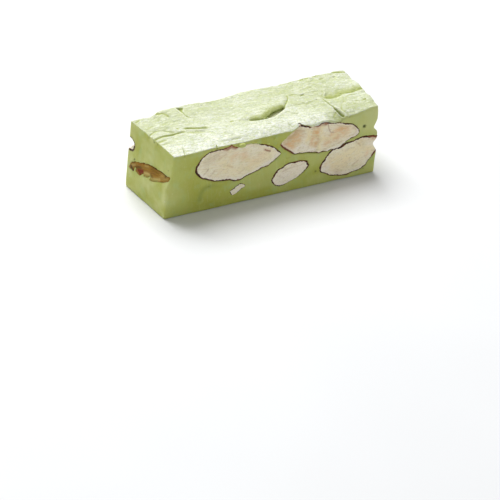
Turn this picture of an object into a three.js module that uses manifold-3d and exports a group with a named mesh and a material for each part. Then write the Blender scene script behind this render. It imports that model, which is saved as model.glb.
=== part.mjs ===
// A hand-cut bar of green nougat with whole almonds that the knife has cut through.
// Millimetres, +Z up. The bar lies along X, its front is at -Y, and it rests on its flat underside.
import * as THREE from "three";
import { mergeVertices } from "three/addons/utils/BufferGeometryUtils.js";
import Module from "manifold-3d";

// ---- Driving dimensions ----

const BAR = { length: 57, depth: 16.8, height: 17.5 };
const EDGE_RADIUS = 0.5;
const SEGMENTS = { length: 40, depth: 12, height: 9 };

// How far the knife left each corner from the true box in depth and height: left or right, front or
// back, bottom or top.
const CORNER_ERRORS = {
  left: {
    front: { bottom: [0.91, 0], top: [-0.07, -0.43] },
    back: { bottom: [0.34, 0], top: [0.16, -0.48] },
  },
  right: {
    front: { bottom: [-0.34, 0], top: [0.95, 0.14] },
    back: { bottom: [0.3, 0], top: [0.33, 0.8] },
  },
};

// The cut ends lean and bulge: X at the front and the back edge of each end, by height.
const ENDS = {
  left: {
    front: [[0, -28.4], [2.5, -28.55], [5.5, -28.68], [7.8, -28.66], [10.4, -28.12], [15, -27.97], [18, -28]],
    back: [[0, -29.25], [5, -29.46], [8, -29.46], [13.5, -29.2], [18, -28.95]],
  },
  right: {
    front: [[0, 28.7], [4, 28.72], [6.2, 28.6], [8.2, 27.9], [10, 28.25], [12.3, 27.4], [14.6, 28], [18, 27.8]],
    back: [[0, 28.6], [8, 28.85], [15, 28.85], [18.5, 28.9]],
  },
};

// The pulled top stands higher along the back edge and at the right end, and its front edge sags
// over the almonds. Heights along X for the two edges, along Y for the end.
const BACK_RISE = [
  [-27, 0], [-24.2, -0.1], [-21.6, 0.85], [-18.8, 1], [-15.5, 1], [-10, 0.5], [-7.5, 0.4], [-0.5, 0.8],
  [3, 0.85], [9.5, 0.45], [15, 0.65], [21.7, 0.85], [26.9, 0.65], [28.6, 0.3],
];
const RIGHT_RISE = [[-6.5, 0], [-4.2, 0.4], [-2, 0.1], [0.2, 0.75], [2, 0.55], [4.5, 0], [8.4, 0]];
const RIGHT_RISE_LENGTH = 3;
const FRONT_SAG = [
  [-28, 0.25], [-17, 0.5], [-9, 0.85], [2.5, 1.1], [3.8, 1.25], [5.9, 0.2], [9.4, 1], [12.5, 0.75],
  [15.8, 1.5], [18.9, 1.05], [22, 0.85], [25, 0.4], [28, 0],
];
const FRONT_SAG_DEPTH = 2.1; // how far back over the top the sag reaches

// Folds of the pulled nougat on top. A groove has a depth, a ridge has a height, and a flap
// raises the side behind its path.
const FOLDS = [
  { kind: "flap", rise: 0.5, width: 3, path: [[-14.3, -1.4], [-6.4, -0.9], [-2.3, -2.2], [5.8, -0.1], [9.6, 4.6]] },
  { kind: "groove", rise: -0.75, width: 0.8, path: [[0.4, -2.1], [5.2, -0.7]] },
  { kind: "groove", rise: -0.7, width: 0.7, path: [[17.7, 1.2], [17.4, -4], [18.2, -8.8]] },
  { kind: "groove", rise: -0.5, width: 1.1, path: [[17.8, 0.4], [24.4, 0.7], [28.9, -0.3]] },
  { kind: "ridge", rise: 0.26, width: 0.9, path: [[20.2, -1.4], [24, -0.6], [28.8, -0.9]] },
  { kind: "ridge", rise: 0.45, width: 0.9, path: [[-28.2, 1.7], [-25.6, 2.6], [-22.6, 0.2], [-17.7, 0.2]] },
  { kind: "ridge", rise: 0.35, width: 0.8, path: [[-28.6, -1.4], [-24.6, 0], [-18.2, -0.6]] },
  { kind: "groove", rise: -0.6, width: 0.9, path: [[-17.4, 8.6], [-16.6, 3.4]] },
];
const PULL_WAVES = { height: 0.1, spacing: 3.7, drift: 19 }; // long low waves along the top
const FACE_WAVE = { height: 0.1, length: 31, slant: 1.3 }; // drag of the knife on front and back

// Almonds in the order in which they keep their place: a later one gives way to an earlier one.
// length, width and thickness are the whole almond's, taper narrows its +X end, slope lifts that
// end, yaw turns it and roll tips its width out of the level.
const ALMONDS = [
  {
    name: "almond_front_long",
    at: [-10.9, -6.3, 10.4], length: 26.3, width: 11.7, thickness: 6.5, taper: 0.16,
    slope: -1, yaw: -3.4, roll: -70,
  },
  {
    name: "almond_front_top",
    at: [11.8, -6.1, 11.9], length: 24.7, width: 11.4, thickness: 7.4, taper: 0.05,
    slope: -4.5, yaw: -2.4, roll: -45,
    breaks: [{ through: [1, -8.4, 13.3], facing: [0.63, 0.08, -0.77] }],
  },
  {
    name: "almond_front_corner",
    at: [22.3, -5.3, 6.3], length: 23.7, width: 12, thickness: 8.1, taper: -0.09,
    slope: 10.7, yaw: 4.3, roll: 78,
  },
  {
    name: "almond_front_small",
    at: [4.5, -6.3, 5.7], length: 12.6, width: 7.2, thickness: 5.3, taper: 0.21,
    slope: 15.6, yaw: -5, roll: 41,
  },
  {
    name: "almond_front_chip",
    at: [-9.75, -7.7, 4.15], length: 4.4, width: 2.4, thickness: 2.1, taper: 0.1,
    slope: 17, yaw: 0, roll: 0,
  },
  {
    name: "almond_back_notch",
    at: [-22.6, 8.5, 11.1], length: 18, width: 7.4, thickness: 5, taper: -0.05,
    slope: -6, yaw: 0, roll: 0,
    breaks: [{ through: [-28.9, 7.4, 10.75], facing: [0.4, -0.62, -0.68] }],
  },
  {
    name: "almond_back_long",
    at: [9.2, 7.6, 8.4], length: 23.4, width: 11.4, thickness: 7.8, taper: 0.12,
    slope: 13, yaw: 2, roll: 66,
  },
  {
    name: "almond_back_medium",
    at: [-8.9, 8, 4.9], length: 14.6, width: 7.6, thickness: 6, taper: 0.1,
    slope: -9, yaw: -3, roll: 58,
  },
  {
    name: "almond_back_small",
    at: [20.9, 7.9, 13.2], length: 9.6, width: 5.6, thickness: 4.8, taper: 0.15,
    slope: -22, yaw: 5, roll: 30,
  },
  {
    name: "almond_back_chip",
    at: [22.4, 8.2, 4.4], length: 4.2, width: 2.8, thickness: 2.3, taper: 0.1,
    slope: -24, yaw: 0, roll: 0,
  },
  {
    name: "almond_right_end",
    at: [26.6, 3.3, 12.4], length: 10.5, width: 7.2, thickness: 5.2, taper: 0.12,
    slope: -20, yaw: 84, roll: 20,
  },
];
const ALMOND_FULLNESS = 0.6; // 0.5 would make an ellipsoid, and more makes the tips sharper
const LARGE_ALMOND_SEGMENTS = { around: 12, along: 8 };
const SMALL_ALMOND_SEGMENTS = { around: 9, along: 6 };
const LARGE_ALMOND_LENGTH = 14;
const GAP = 0.3; // between an almond and its pocket

// The knife ran along the flank of an almond at the left end and laid bare a long strip of its skin:
// the strip's outline across Y and Z, and how far the almond reaches into the bar.
const FLANK = {
  name: "almond_left_end",
  outline: [
    [8, 6.3], [4.7, 8.1], [1, 9.8], [-3.4, 10.5], [-7.4, 11],
    [-6.6, 9.6], [-4, 8.2], [-1.4, 6.8], [2.3, 6.2], [4.1, 5.4], [7.4, 5.3],
  ],
  from: -31,
  to: -26.6,
};

const COLOURS = { nougat: 0xb2bd76, kernel: 0xe3d0ae, skin: 0x8c6234 };

// ---- Solids: three.js geometry in, manifold solid between, three.js geometry out ----

const wasm = await Module();
wasm.setup();

function toSolid(geometry) {
  const bare = geometry.clone();
  bare.deleteAttribute("normal");
  bare.deleteAttribute("uv");
  const merged = mergeVertices(bare, 1e-4);
  return new wasm.Manifold(
    new wasm.Mesh({
      numProp: 3,
      vertProperties: merged.attributes.position.array,
      triVerts: new Uint32Array(merged.index.array),
    }),
  );
}

function toGeometry(solid) {
  const mesh = solid.getMesh();
  const geometry = new THREE.BufferGeometry();
  geometry.setAttribute("position", new THREE.BufferAttribute(mesh.vertProperties, 3));
  geometry.setIndex(new THREE.BufferAttribute(mesh.triVerts, 1));
  geometry.computeVertexNormals();
  return geometry;
}

function largestBody(solid) {
  return solid.decompose().reduce((a, b) => (a.volume() > b.volume() ? a : b));
}

// ---- The nougat's outer form ----

const bell = (distance, reach) => Math.exp(-((distance / reach) ** 2));

// Places of the grid lines along one side, with extra ones in the rounded edges.
function gridLines(size, segments) {
  const half = size / 2;
  const inner = half - EDGE_RADIUS;
  const lines = [-half, -half + 0.3 * EDGE_RADIUS];
  for (let i = 0; i <= segments - 4; i++) lines.push(-inner + (2 * inner * i) / (segments - 4));
  return [...lines, half - 0.3 * EDGE_RADIUS, half];
}

function roundedPoint(p) {
  const core = new THREE.Vector3(
    THREE.MathUtils.clamp(p.x, EDGE_RADIUS - BAR.length / 2, BAR.length / 2 - EDGE_RADIUS),
    THREE.MathUtils.clamp(p.y, EDGE_RADIUS - BAR.depth / 2, BAR.depth / 2 - EDGE_RADIUS),
    THREE.MathUtils.clamp(p.z, EDGE_RADIUS - BAR.height / 2, BAR.height / 2 - EDGE_RADIUS),
  );
  return core.clone().add(p.clone().sub(core).setLength(EDGE_RADIUS));
}

// The knife's error at a point, blended between the eight corners.
function cornerError(u, v, w) {
  const error = new THREE.Vector3();
  for (const [side, along] of [["left", 1 - u], ["right", u]])
    for (const [face, across] of [["front", 1 - v], ["back", v]])
      for (const [level, up] of [["bottom", 1 - w], ["top", w]]) {
        const corner = new THREE.Vector3(0, ...CORNER_ERRORS[side][face][level]);
        error.addScaledVector(corner, along * across * up);
      }
  return error;
}

// Reads a table of [place, value] pairs, straight between its points and level beyond its ends.
function readTable(table, place) {
  const next = table.findIndex(([at]) => at > place);
  if (next === 0) return table[0][1];
  if (next < 0) return table[table.length - 1][1];
  const [fromPlace, fromValue] = table[next - 1];
  const [toPlace, toValue] = table[next];
  return THREE.MathUtils.mapLinear(place, fromPlace, toPlace, fromValue, toValue);
}

// How far an end stands beyond the true box, at a share of the depth and a height.
function endShift(side, v, z) {
  const { front, back } = ENDS[side];
  const x = THREE.MathUtils.lerp(readTable(front, z), readTable(back, z), v);
  return side === "left" ? x + BAR.length / 2 : x - BAR.length / 2;
}

// Distance from (x, y) to a path, and on which side of it the point lies: +1 behind, -1 in front.
function nearestOnPath(x, y, path) {
  let best = { distance: Infinity, side: 1 };
  for (let i = 1; i < path.length; i++) {
    const [ax, ay] = path[i - 1];
    const [bx, by] = path[i];
    const run = (bx - ax) ** 2 + (by - ay) ** 2;
    const t = THREE.MathUtils.clamp(((x - ax) * (bx - ax) + (y - ay) * (by - ay)) / run, 0, 1);
    const dx = x - ax - t * (bx - ax);
    const dy = y - ay - t * (by - ay);
    const distance = Math.hypot(dx, dy);
    if (distance < best.distance) best = { distance, side: dy >= 0 ? 1 : -1 };
  }
  return best;
}

function foldHeight(x, y, fold) {
  const { distance, side } = nearestOnPath(x, y, fold.path);
  if (fold.kind === "flap" && side < 0) return 0;
  return fold.rise * bell(distance, fold.width);
}

function topRelief(x, y) {
  const folds = FOLDS.reduce((sum, fold) => sum + foldHeight(x, y, fold), 0);
  const waves = PULL_WAVES.height * Math.sin((2 * Math.PI * y) / PULL_WAVES.spacing + x / PULL_WAVES.drift);
  const sag = readTable(FRONT_SAG, x) * bell(y + BAR.depth / 2, FRONT_SAG_DEPTH);
  const nearRight = THREE.MathUtils.smoothstep(x, BAR.length / 2 - RIGHT_RISE_LENGTH, BAR.length / 2);
  const rise = readTable(BACK_RISE, x) * (y / BAR.depth + 0.5) + readTable(RIGHT_RISE, y) * nearRight;
  return folds + waves + rise - sag;
}

function shapedPoint(p) {
  const u = p.x / BAR.length + 0.5;
  const v = p.y / BAR.depth + 0.5;
  const w = p.z / BAR.height + 0.5;
  const shaped = roundedPoint(p).add(cornerError(u, v, w));
  shaped.z += BAR.height / 2;
  const nearTop = THREE.MathUtils.smoothstep(w, 0.55, 1);
  const offFloor = THREE.MathUtils.smoothstep(w, 0, 0.15);
  shaped.z += nearTop * topRelief(shaped.x, shaped.y);
  shaped.x += (1 - u) * endShift("left", v, shaped.z) + u * endShift("right", v, shaped.z);
  const wave = Math.sin((2 * Math.PI * (shaped.x + FACE_WAVE.slant * shaped.z)) / FACE_WAVE.length);
  shaped.y += offFloor * (1 - nearTop) * FACE_WAVE.height * wave;
  return shaped;
}

function barGeometry() {
  const { length, depth, height } = BAR;
  const geometry = new THREE.BoxGeometry(
    length, depth, height, SEGMENTS.length, SEGMENTS.depth, SEGMENTS.height,
  );
  const sizes = [length, depth, height];
  const counts = [SEGMENTS.length, SEGMENTS.depth, SEGMENTS.height];
  const lines = sizes.map((size, axis) => gridLines(size, counts[axis]));
  const position = geometry.attributes.position;
  const point = new THREE.Vector3();
  for (let i = 0; i < position.count; i++) {
    point.fromBufferAttribute(position, i);
    const onGrid = point
      .toArray()
      .map((value, axis) => lines[axis][Math.round((value / sizes[axis] + 0.5) * counts[axis])]);
    position.setXYZ(i, ...shapedPoint(new THREE.Vector3(...onGrid)).toArray());
  }
  return geometry;
}

// ---- Almonds and their pockets ----

// A teardrop about the X axis, grown by the given margin all round.
function almondGeometry({ length, width, thickness, taper, fullness = ALMOND_FULLNESS }, margin) {
  const segments = length < LARGE_ALMOND_LENGTH ? SMALL_ALMOND_SEGMENTS : LARGE_ALMOND_SEGMENTS;
  const geometry = new THREE.SphereGeometry(1, segments.around, segments.along);
  geometry.rotateZ(-Math.PI / 2); // the poles become the two tips
  const position = geometry.attributes.position;
  for (let i = 0; i < position.count; i++) {
    const t = position.getX(i);
    const ring = Math.sqrt(Math.max(0, 1 - t * t));
    const girth = ring > 1e-6 ? ring ** (2 * fullness - 1) * (1 - taper * t) : 0;
    position.setXYZ(
      i,
      t * (length / 2 + margin),
      position.getY(i) * girth * (width / 2 + margin),
      position.getZ(i) * girth * (thickness / 2 + margin),
    );
  }
  return geometry;
}

function almondSolid(almond, margin = 0) {
  const turn = new THREE.Euler(
    THREE.MathUtils.degToRad(almond.roll),
    THREE.MathUtils.degToRad(-almond.slope),
    THREE.MathUtils.degToRad(almond.yaw),
    "ZYX",
  );
  const placed = new THREE.Matrix4().makeRotationFromEuler(turn).setPosition(...almond.at);
  return toSolid(almondGeometry(almond, margin).applyMatrix4(placed));
}

// What is left of an almond where it snapped. A whole almond has no breaks and stays as it is.
function snapped(solid, almond, setback = 0) {
  return (almond.breaks ?? []).reduce((kept, { through, facing }) => {
    const normal = new THREE.Vector3(...facing).normalize();
    const offset = normal.dot(new THREE.Vector3(...through)) - setback;
    return kept.trimByPlane(normal.toArray(), offset);
  }, solid);
}

// The flank's outline moved out by a margin, corner by corner.
function grownOutline(outline, margin) {
  return outline.map((point, i) => {
    const here = new THREE.Vector2(...point);
    const before = new THREE.Vector2(...outline[(i + outline.length - 1) % outline.length]);
    const after = new THREE.Vector2(...outline[(i + 1) % outline.length]);
    const along = after.sub(before).normalize();
    return here.add(new THREE.Vector2(along.y, -along.x).multiplyScalar(margin));
  });
}

function flankSolid({ outline, from, to }, margin = 0) {
  const shape = new THREE.Shape(grownOutline(outline, margin));
  const depth = to + margin - from;
  const geometry = new THREE.ExtrudeGeometry(shape, { depth, bevelEnabled: false });
  geometry.rotateX(Math.PI / 2);
  geometry.rotateZ(Math.PI / 2);
  return toSolid(geometry.translate(from, 0, 0));
}

// The notch almond lost its tip, so its pocket stays open. The other pockets end at the break.
const OPEN_POCKETS = new Set(["almond_back_notch"]);

function pocketSolid(almond) {
  const grown = almondSolid(almond, GAP);
  return OPEN_POCKETS.has(almond.name) ? grown : snapped(grown, almond, GAP);
}

// ---- Assembly ----

function nodeMesh(name, solid, colour, roughness) {
  const material = new THREE.MeshStandardMaterial({ color: colour, roughness, metalness: 0 });
  const mesh = new THREE.Mesh(toGeometry(solid), material);
  mesh.name = name;
  return mesh;
}

function buildBar() {
  const block = toSolid(barGeometry());
  const bar = new THREE.Group();
  let nougat = block;
  let taken = null;
  for (const almond of ALMONDS) {
    const pocket = pocketSolid(almond);
    let piece = snapped(almondSolid(almond), almond).intersect(block);
    if (taken) piece = piece.subtract(taken);
    bar.add(nodeMesh(almond.name, largestBody(piece), COLOURS.kernel, 0.6));
    nougat = nougat.subtract(pocket);
    taken = taken ? taken.add(pocket) : pocket;
  }
  bar.add(nodeMesh(FLANK.name, largestBody(flankSolid(FLANK).intersect(block)), COLOURS.skin, 0.6));
  nougat = nougat.subtract(flankSolid(FLANK, GAP));
  bar.add(nodeMesh("nougat", largestBody(nougat), COLOURS.nougat, 0.55));
  return bar;
}

// The origin is the middle of the footprint, at the underside.
function centred(group) {
  const box = new THREE.Box3().setFromObject(group);
  group.position.set(-(box.min.x + box.max.x) / 2, -(box.min.y + box.max.y) / 2, -box.min.z);
  return group;
}

export default centred(buildBar());
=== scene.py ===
"""Looks of a hand-cut bar of green nougat with whole almonds that the knife has cut through.

All sizes in the classes are millimetres in the bar's own frame: X along the bar, the front cut face at
-Y, the flat underside at Z = 0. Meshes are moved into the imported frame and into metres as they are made.
"""

import logging
import math
from collections.abc import Iterator
from dataclasses import dataclass, field
from enum import Enum
from itertools import product

import bpy
import numpy as np
import openvdb as vdb
from mathutils import Matrix, Vector


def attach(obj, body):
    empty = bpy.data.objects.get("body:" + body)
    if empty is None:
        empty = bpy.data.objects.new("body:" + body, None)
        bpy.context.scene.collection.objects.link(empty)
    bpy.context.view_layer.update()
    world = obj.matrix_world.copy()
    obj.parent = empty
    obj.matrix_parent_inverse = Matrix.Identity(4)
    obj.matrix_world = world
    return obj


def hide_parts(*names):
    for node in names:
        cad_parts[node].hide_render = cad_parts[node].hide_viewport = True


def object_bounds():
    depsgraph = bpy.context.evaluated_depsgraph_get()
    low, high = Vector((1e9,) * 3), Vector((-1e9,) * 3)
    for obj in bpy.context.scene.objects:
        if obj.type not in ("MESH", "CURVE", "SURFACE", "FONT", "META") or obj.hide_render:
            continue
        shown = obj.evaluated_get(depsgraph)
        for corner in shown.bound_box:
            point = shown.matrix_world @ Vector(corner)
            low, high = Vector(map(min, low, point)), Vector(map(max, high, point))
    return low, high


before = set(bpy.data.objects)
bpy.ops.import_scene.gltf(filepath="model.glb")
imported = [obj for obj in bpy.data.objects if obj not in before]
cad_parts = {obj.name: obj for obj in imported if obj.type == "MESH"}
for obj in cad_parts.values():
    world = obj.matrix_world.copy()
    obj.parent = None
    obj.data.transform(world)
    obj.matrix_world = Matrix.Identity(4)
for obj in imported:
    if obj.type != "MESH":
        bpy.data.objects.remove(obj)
CAD_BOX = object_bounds()

log = logging.getLogger("nougat_bar")

Array = np.ndarray
Places = tuple[Array, Array, Array]
Point2 = tuple[float, float]
Point3 = tuple[float, float, float]
Path = tuple[Point2, ...]
Piece = bpy.types.Object
Material = bpy.types.Material
Socket = bpy.types.NodeSocket
Inputs = dict[str | int, object]
Tone = tuple[float, float, float, float]

MM = 0.001
FRAME_SHIFT: Point3 = (0.2874, -0.0568, 0.0)  # from the bar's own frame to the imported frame
ROOT_BODY = "root"

NOUGAT_PITCH = 0.275
TOP_PITCH = 0.165
ALMOND_PITCH = 0.17
SMALL_ALMOND_PITCH = 0.12
SMALL_ALMOND_LENGTH = 6.0
POCKET_OVERLAP = 0.05  # how far the nougat reaches into an almond, so that no gap shows
BOX_SPARE = 0.01  # how far every piece stays inside the CAD box
FAR = 1e9
TINY = 1e-6


# ---- Fields: noise, paths and profiles ----


def smoothstep(low: float, high: float, value: Array) -> Array:
    """Smooth 0 to 1 ramp of value between low and high."""
    t = np.clip((value - low) / (high - low), 0.0, 1.0)
    return t * t * (3.0 - 2.0 * t)


def bell(distance: Array, reach: float) -> Array:
    """Gaussian bump, 1 at distance 0."""
    return np.exp(-((distance / reach) ** 2))


def share(value: Array, size: float, start: float = 0.5) -> Array:
    """Place along a side of the given size, from 0 to 1."""
    return np.clip(value / size + start, 0.0, 1.0)


def soft_max(a: Array, b: Array, blend: float) -> Array:
    """Larger of two fields, with a seam that is rounded over the width of the blend."""
    h = np.maximum(blend - np.abs(a - b), 0.0) / blend
    return np.maximum(a, b) + 0.25 * blend * h * h


def unit(vectors: Array) -> Array:
    """Rows scaled to length 1."""
    return vectors / np.maximum(np.linalg.norm(vectors, axis=1, keepdims=True), TINY)


def cell_corners(parts: list[Array]) -> Iterator[tuple[tuple[int, ...], Array]]:
    """Corners of a grid cell, with how much each counts at a place in the cell.

    Args:
        parts: The place in the cell along each axis, from 0 to 1.

    Yields:
        The corner, as 0 or 1 along each axis, and its weight.
    """
    for corner in product((0, 1), repeat=len(parts)):
        yield corner, math.prod(p if far else 1.0 - p for far, p in zip(corner, parts))


@dataclass(frozen=True)
class Noise:
    """Seeded smooth noise in three dimensions, from -1 to 1."""

    seed: int

    def _corner(self, cell: list[Array]) -> Array:
        """Random number for each corner of the noise's grid.

        Args:
            cell: Whole coordinates of the corners.

        Returns:
            Numbers from -1 to 1.
        """
        x, y, z = (c.astype(np.uint32) for c in cell)
        mixed = x * np.uint32(374761393) + y * np.uint32(668265263) + z * np.uint32(2246822519)
        mixed = mixed + np.uint32((self.seed * 3266489917) % 2**32)
        mixed = (mixed ^ (mixed >> np.uint32(13))) * np.uint32(1274126177)
        mixed = (mixed ^ (mixed >> np.uint32(15))) * np.uint32(2246822519)
        mixed = mixed ^ (mixed >> np.uint32(16))
        return mixed.astype(np.float64) / 2147483647.5 - 1.0

    def octave(self, at: Places) -> Array:
        """One octave of noise, with features about one unit across.

        Args:
            at: Where it is read.

        Returns:
            Noise from -1 to 1.
        """
        at = np.broadcast_arrays(*at)
        base = [np.floor(c).astype(np.int64) for c in at]
        part = [c - b for c, b in zip(at, base)]
        ease = [p * p * p * (p * (6.0 * p - 15.0) + 10.0) for p in part]
        total = np.zeros(at[0].shape)
        for corner, weight in cell_corners(ease):
            total += weight * self._corner([b + c for b, c in zip(base, corner)])
        return total

    def rough(self, at: Places, size: float | Point3, octaves: int = 3, gain: float = 0.5) -> Array:
        """Several octaves of noise, each half as large as the one before.

        Args:
            at: Where it is read.
            size: Size of the largest features, the same or its own along each axis.
            octaves: How many octaves are added.
            gain: Strength of each octave over the one before.

        Returns:
            Noise of about -1 to 1.
        """
        x, y, z = (c / s for c, s in zip(at, np.broadcast_to(size, 3)))
        total = np.zeros(np.broadcast(x, y, z).shape)
        strength = 1.0
        finer = 1.0
        for number in range(octaves):
            shift = 17.3 * number
            total += strength * self.octave((x * finer + shift, y * finer - shift, z * finer + 2 * shift))
            strength *= gain
            finer *= 2.03
        return total


def path(*numbers: float) -> Path:
    """Pairs up a plain run of coordinates."""
    return tuple(zip(numbers[::2], numbers[1::2]))


def smooth_path(points: Path, steps: int = 6) -> Array:
    """Catmull-Rom curve through the given points.

    Args:
        points: Points that the path goes through.
        steps: Straight pieces per span.

    Returns:
        Array of points, one row each.
    """
    given = np.array(points, float)
    if len(given) < 3:
        return given
    padded = np.vstack([2 * given[0] - given[1], given, 2 * given[-1] - given[-2]])
    rows = []
    for i in range(1, len(padded) - 2):
        p0, p1, p2, p3 = padded[i - 1 : i + 3]
        for t in np.arange(steps) / steps:
            bend = (2 * p0 - 5 * p1 + 4 * p2 - p3) * t * t + (3 * p1 - p0 - 3 * p2 + p3) * t**3
            rows.append(0.5 * (2 * p1 + (p2 - p0) * t + bend))
    rows.append(padded[-2])
    return np.array(rows)


def to_line(x: Array, y: Array, start: Array, run: Array) -> Places:
    """Share of a straight run at the place nearest to each point, and the offset from that place."""
    t = np.clip(((x - start[0]) * run[0] + (y - start[1]) * run[1]) / (run @ run), 0.0, 1.0)
    return t, x - start[0] - t * run[0], y - start[1] - t * run[1]


@dataclass(frozen=True)
class PathReading:
    """Where points lie against a path; the side is +1 to the left of its direction and -1 to the right."""

    distance: Array
    side: Array
    along: Array
    length: float


def read_path(x: Array, y: Array, points: Path) -> PathReading:
    """Finds the nearest place on a path for every point.

    Args:
        x: First coordinates.
        y: Second coordinates.
        points: The path's own points.

    Returns:
        Distance, side and arc length of the nearest place.
    """
    line = smooth_path(points)
    x, y = np.broadcast_arrays(x, y)
    best = np.full(x.shape, FAR)
    side = np.ones(x.shape)
    along = np.zeros(x.shape)
    start = 0.0
    for a, b in zip(line[:-1], line[1:]):
        run = b - a
        length = float(np.hypot(*run))
        if length < TINY:
            continue
        t, dx, dy = to_line(x, y, a, run)
        distance = np.hypot(dx, dy)
        nearer = distance < best
        best = np.where(nearer, distance, best)
        side = np.where(nearer, np.sign(run[0] * dy - run[1] * dx), side)
        along = np.where(nearer, start + t * length, along)
        start += length
    return PathReading(best, np.where(side == 0.0, 1.0, side), along, start)


@dataclass(frozen=True)
class Curve:
    """Smooth line through table points, read like a graph."""

    points: Path

    def at(self, value: Array) -> Array:
        """Height of the line over the given places."""
        line = smooth_path(self.points)
        return np.interp(value, line[:, 0], line[:, 1])


@dataclass(frozen=True)
class Outline:
    """Closed smooth outline on a flat face."""

    points: Path
    steps: int = 4

    def distance(self, u: Array, v: Array) -> Array:
        """Signed distance to the outline, negative inside.

        Args:
            u: First face coordinate.
            v: Second face coordinate.

        Returns:
            Distance at each point.
        """
        wrapped = self.points[-2:] + self.points + self.points[:3]
        skipped = 2 * self.steps
        line = smooth_path(wrapped, self.steps)[skipped : skipped + self.steps * len(self.points) + 1]
        u, v = np.broadcast_arrays(u, v)
        best = np.full(u.shape, FAR)
        inside = np.zeros(u.shape, bool)
        for a, b in zip(line[:-1], line[1:]):
            run = b - a
            _, du, dv = to_line(u, v, a, run)
            best = np.minimum(best, np.hypot(du, dv))
            if run[1] != 0.0:
                spans = (a[1] > v) != (b[1] > v)
                inside ^= spans & (u < a[0] + (v - a[1]) * run[0] / run[1])
        return np.where(inside, -best, best)


class FoldKind(Enum):
    """Profile of a fold across its path; the first side is to the left of the path's direction."""

    RIDGE = "ridge"
    CREASE = "crease"
    CRACK = "crack"
    VALLEY = "valley"


@dataclass(frozen=True)
class Fold:
    """One fold or crack of the pulled nougat, along a path on the top.

    A crease dips at its path and swells by its lift on the first side, where one fold of nougat lies over
    the next. A valley is wider on the first side. The shade is the fold's colour, partly the greener nougat
    in it and partly painted shade, green and then dark, spread over one width on each side, and the fold
    fades in and out over two lengths at its ends.
    """

    kind: FoldKind
    size: float
    width: float
    shade: float
    path: Path
    lift: float = 0.0
    lip: float = 0.3
    spread: Point2 = (0.32, 0.18)
    fade: Point2 = (1.0, 1.0)
    valley_side: float = 3.2

    def _reading(self, x: Array, y: Array) -> tuple[Array, PathReading]:
        """Finds the points that are close enough to feel the fold, and where they lie against its path.

        Args:
            x: Coordinates along the bar.
            y: Coordinates across it.

        Returns:
            Which points are close, and their reading.
        """
        line = np.array(self.path)
        reach = 3.0 * max(self.width * (self.valley_side if self.kind is VALLEY else 1.0), *self.spread)
        low, high = line.min(axis=0) - reach, line.max(axis=0) + reach
        near = (x > low[0]) & (x < high[0]) & (y > low[1]) & (y < high[1])
        return near, read_path(x[near], y[near], self.path)

    def _strength(self, at: PathReading) -> Array:
        """How far the fold has grown at each point.

        Args:
            at: Where the points lie against the path.

        Returns:
            Strength from 0 to 1.
        """
        strength = np.ones(at.distance.shape)
        for reach, place in zip(self.fade, (at.along, at.length - at.along)):
            if reach > 0.0:
                strength = strength * smoothstep(0.0, reach, place)
        return strength

    def _profile(self, signed: Array, strength: Array) -> Array:
        """Shape across the path.

        Args:
            signed: Distance from the path, positive on the first side.
            strength: How far the fold has grown, from 0 to 1.

        Returns:
            Height in millimetres at full strength.
        """
        first = np.maximum(signed, 0.0)
        second = np.maximum(-signed, 0.0)
        if self.kind is RIDGE:
            return self.size * bell(signed, self.width)
        if self.kind is CRACK:
            gape = self.width * (0.25 + 0.75 * strength)
            return -self.size * (1.0 - smoothstep(0.2, 1.0, np.abs(signed) / gape))
        if self.kind is VALLEY:
            return -self.size * bell(first, self.valley_side * self.width) * bell(second, self.width)
        dip = bell(first, self.lip) * bell(second, 0.8 * self.lip)
        return self.lift * (1.0 - bell(first, self.lip)) * bell(first, self.width) - self.size * dip

    def height(self, x: Array, y: Array) -> Array:
        """Height that the fold adds to the top.

        Args:
            x: Coordinates along the bar.
            y: Coordinates across it.

        Returns:
            Height at each point, negative for a hollow.
        """
        total = np.zeros(x.shape)
        near, at = self._reading(x, y)
        strength = self._strength(at)
        total[near] = strength * self._profile(at.distance * at.side, strength)
        return total

    def tint(self, x: Array, y: Array) -> Array:
        """How green and dark the fold makes the top.

        Args:
            x: Coordinates along the bar.
            y: Coordinates across it.

        Returns:
            Shade at each point, from 0 up.
        """
        total = np.zeros(x.shape)
        near, at = self._reading(x, y)
        width = np.where(at.side > 0.0, *self.spread)
        total[near] = self.shade * self._strength(at) * bell(at.distance, width)
        return total


@dataclass(frozen=True)
class Hollow:
    """A pit with its own outline on the top; its floor leans by the given slopes."""

    outline: Outline
    depth: float
    wall: float
    shade: float = 0.0
    lean: Point2 = (0.0, 0.0)
    stain: float = 0.0
    rim: float = 0.15

    def _inside(self, x: Array, y: Array, wall: float) -> Array:
        """Share from 0 at the rim to 1 beyond the given width of wall."""
        return smoothstep(0.0, wall, -self.outline.distance(x, y))

    def height(self, x: Array, y: Array) -> Array:
        """Height that the pit adds to the top.

        Args:
            x: Coordinates along the bar.
            y: Coordinates across it.

        Returns:
            Height at each point, negative in the pit.
        """
        middle = np.mean(np.array(self.outline.points), axis=0)
        floor = self.depth + self.lean[0] * (x - middle[0]) + self.lean[1] * (y - middle[1])
        return -np.maximum(floor, 0.0) * self._inside(x, y, self.wall)

    def tint(self, x: Array, y: Array) -> Array:
        """Green and dark painted shade that the pit gives each point, from 0 to 1."""
        return self.shade * self._inside(x, y, self.rim)

    def browned(self, x: Array, y: Array) -> Array:
        """How brown the floor of the pit is at each point, from 0 to 1."""
        return self.stain * self._inside(x, y, self.rim)


@dataclass(frozen=True)
class Ripple:
    """Fine relief of the top: its height, its size along and across the bar, and its layer of the noise."""

    height: float
    size: Point2
    layer: float
    octaves: int = 2
    gain: float = 0.5

    def at(self, noise: Noise, x: Array, y: Array) -> Array:
        """Height at each point of the top."""
        return self.height * noise.rough((x, y, self.layer), (*self.size, 1.0), self.octaves, self.gain)


# ---- Sample lattices and meshing ----


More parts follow.
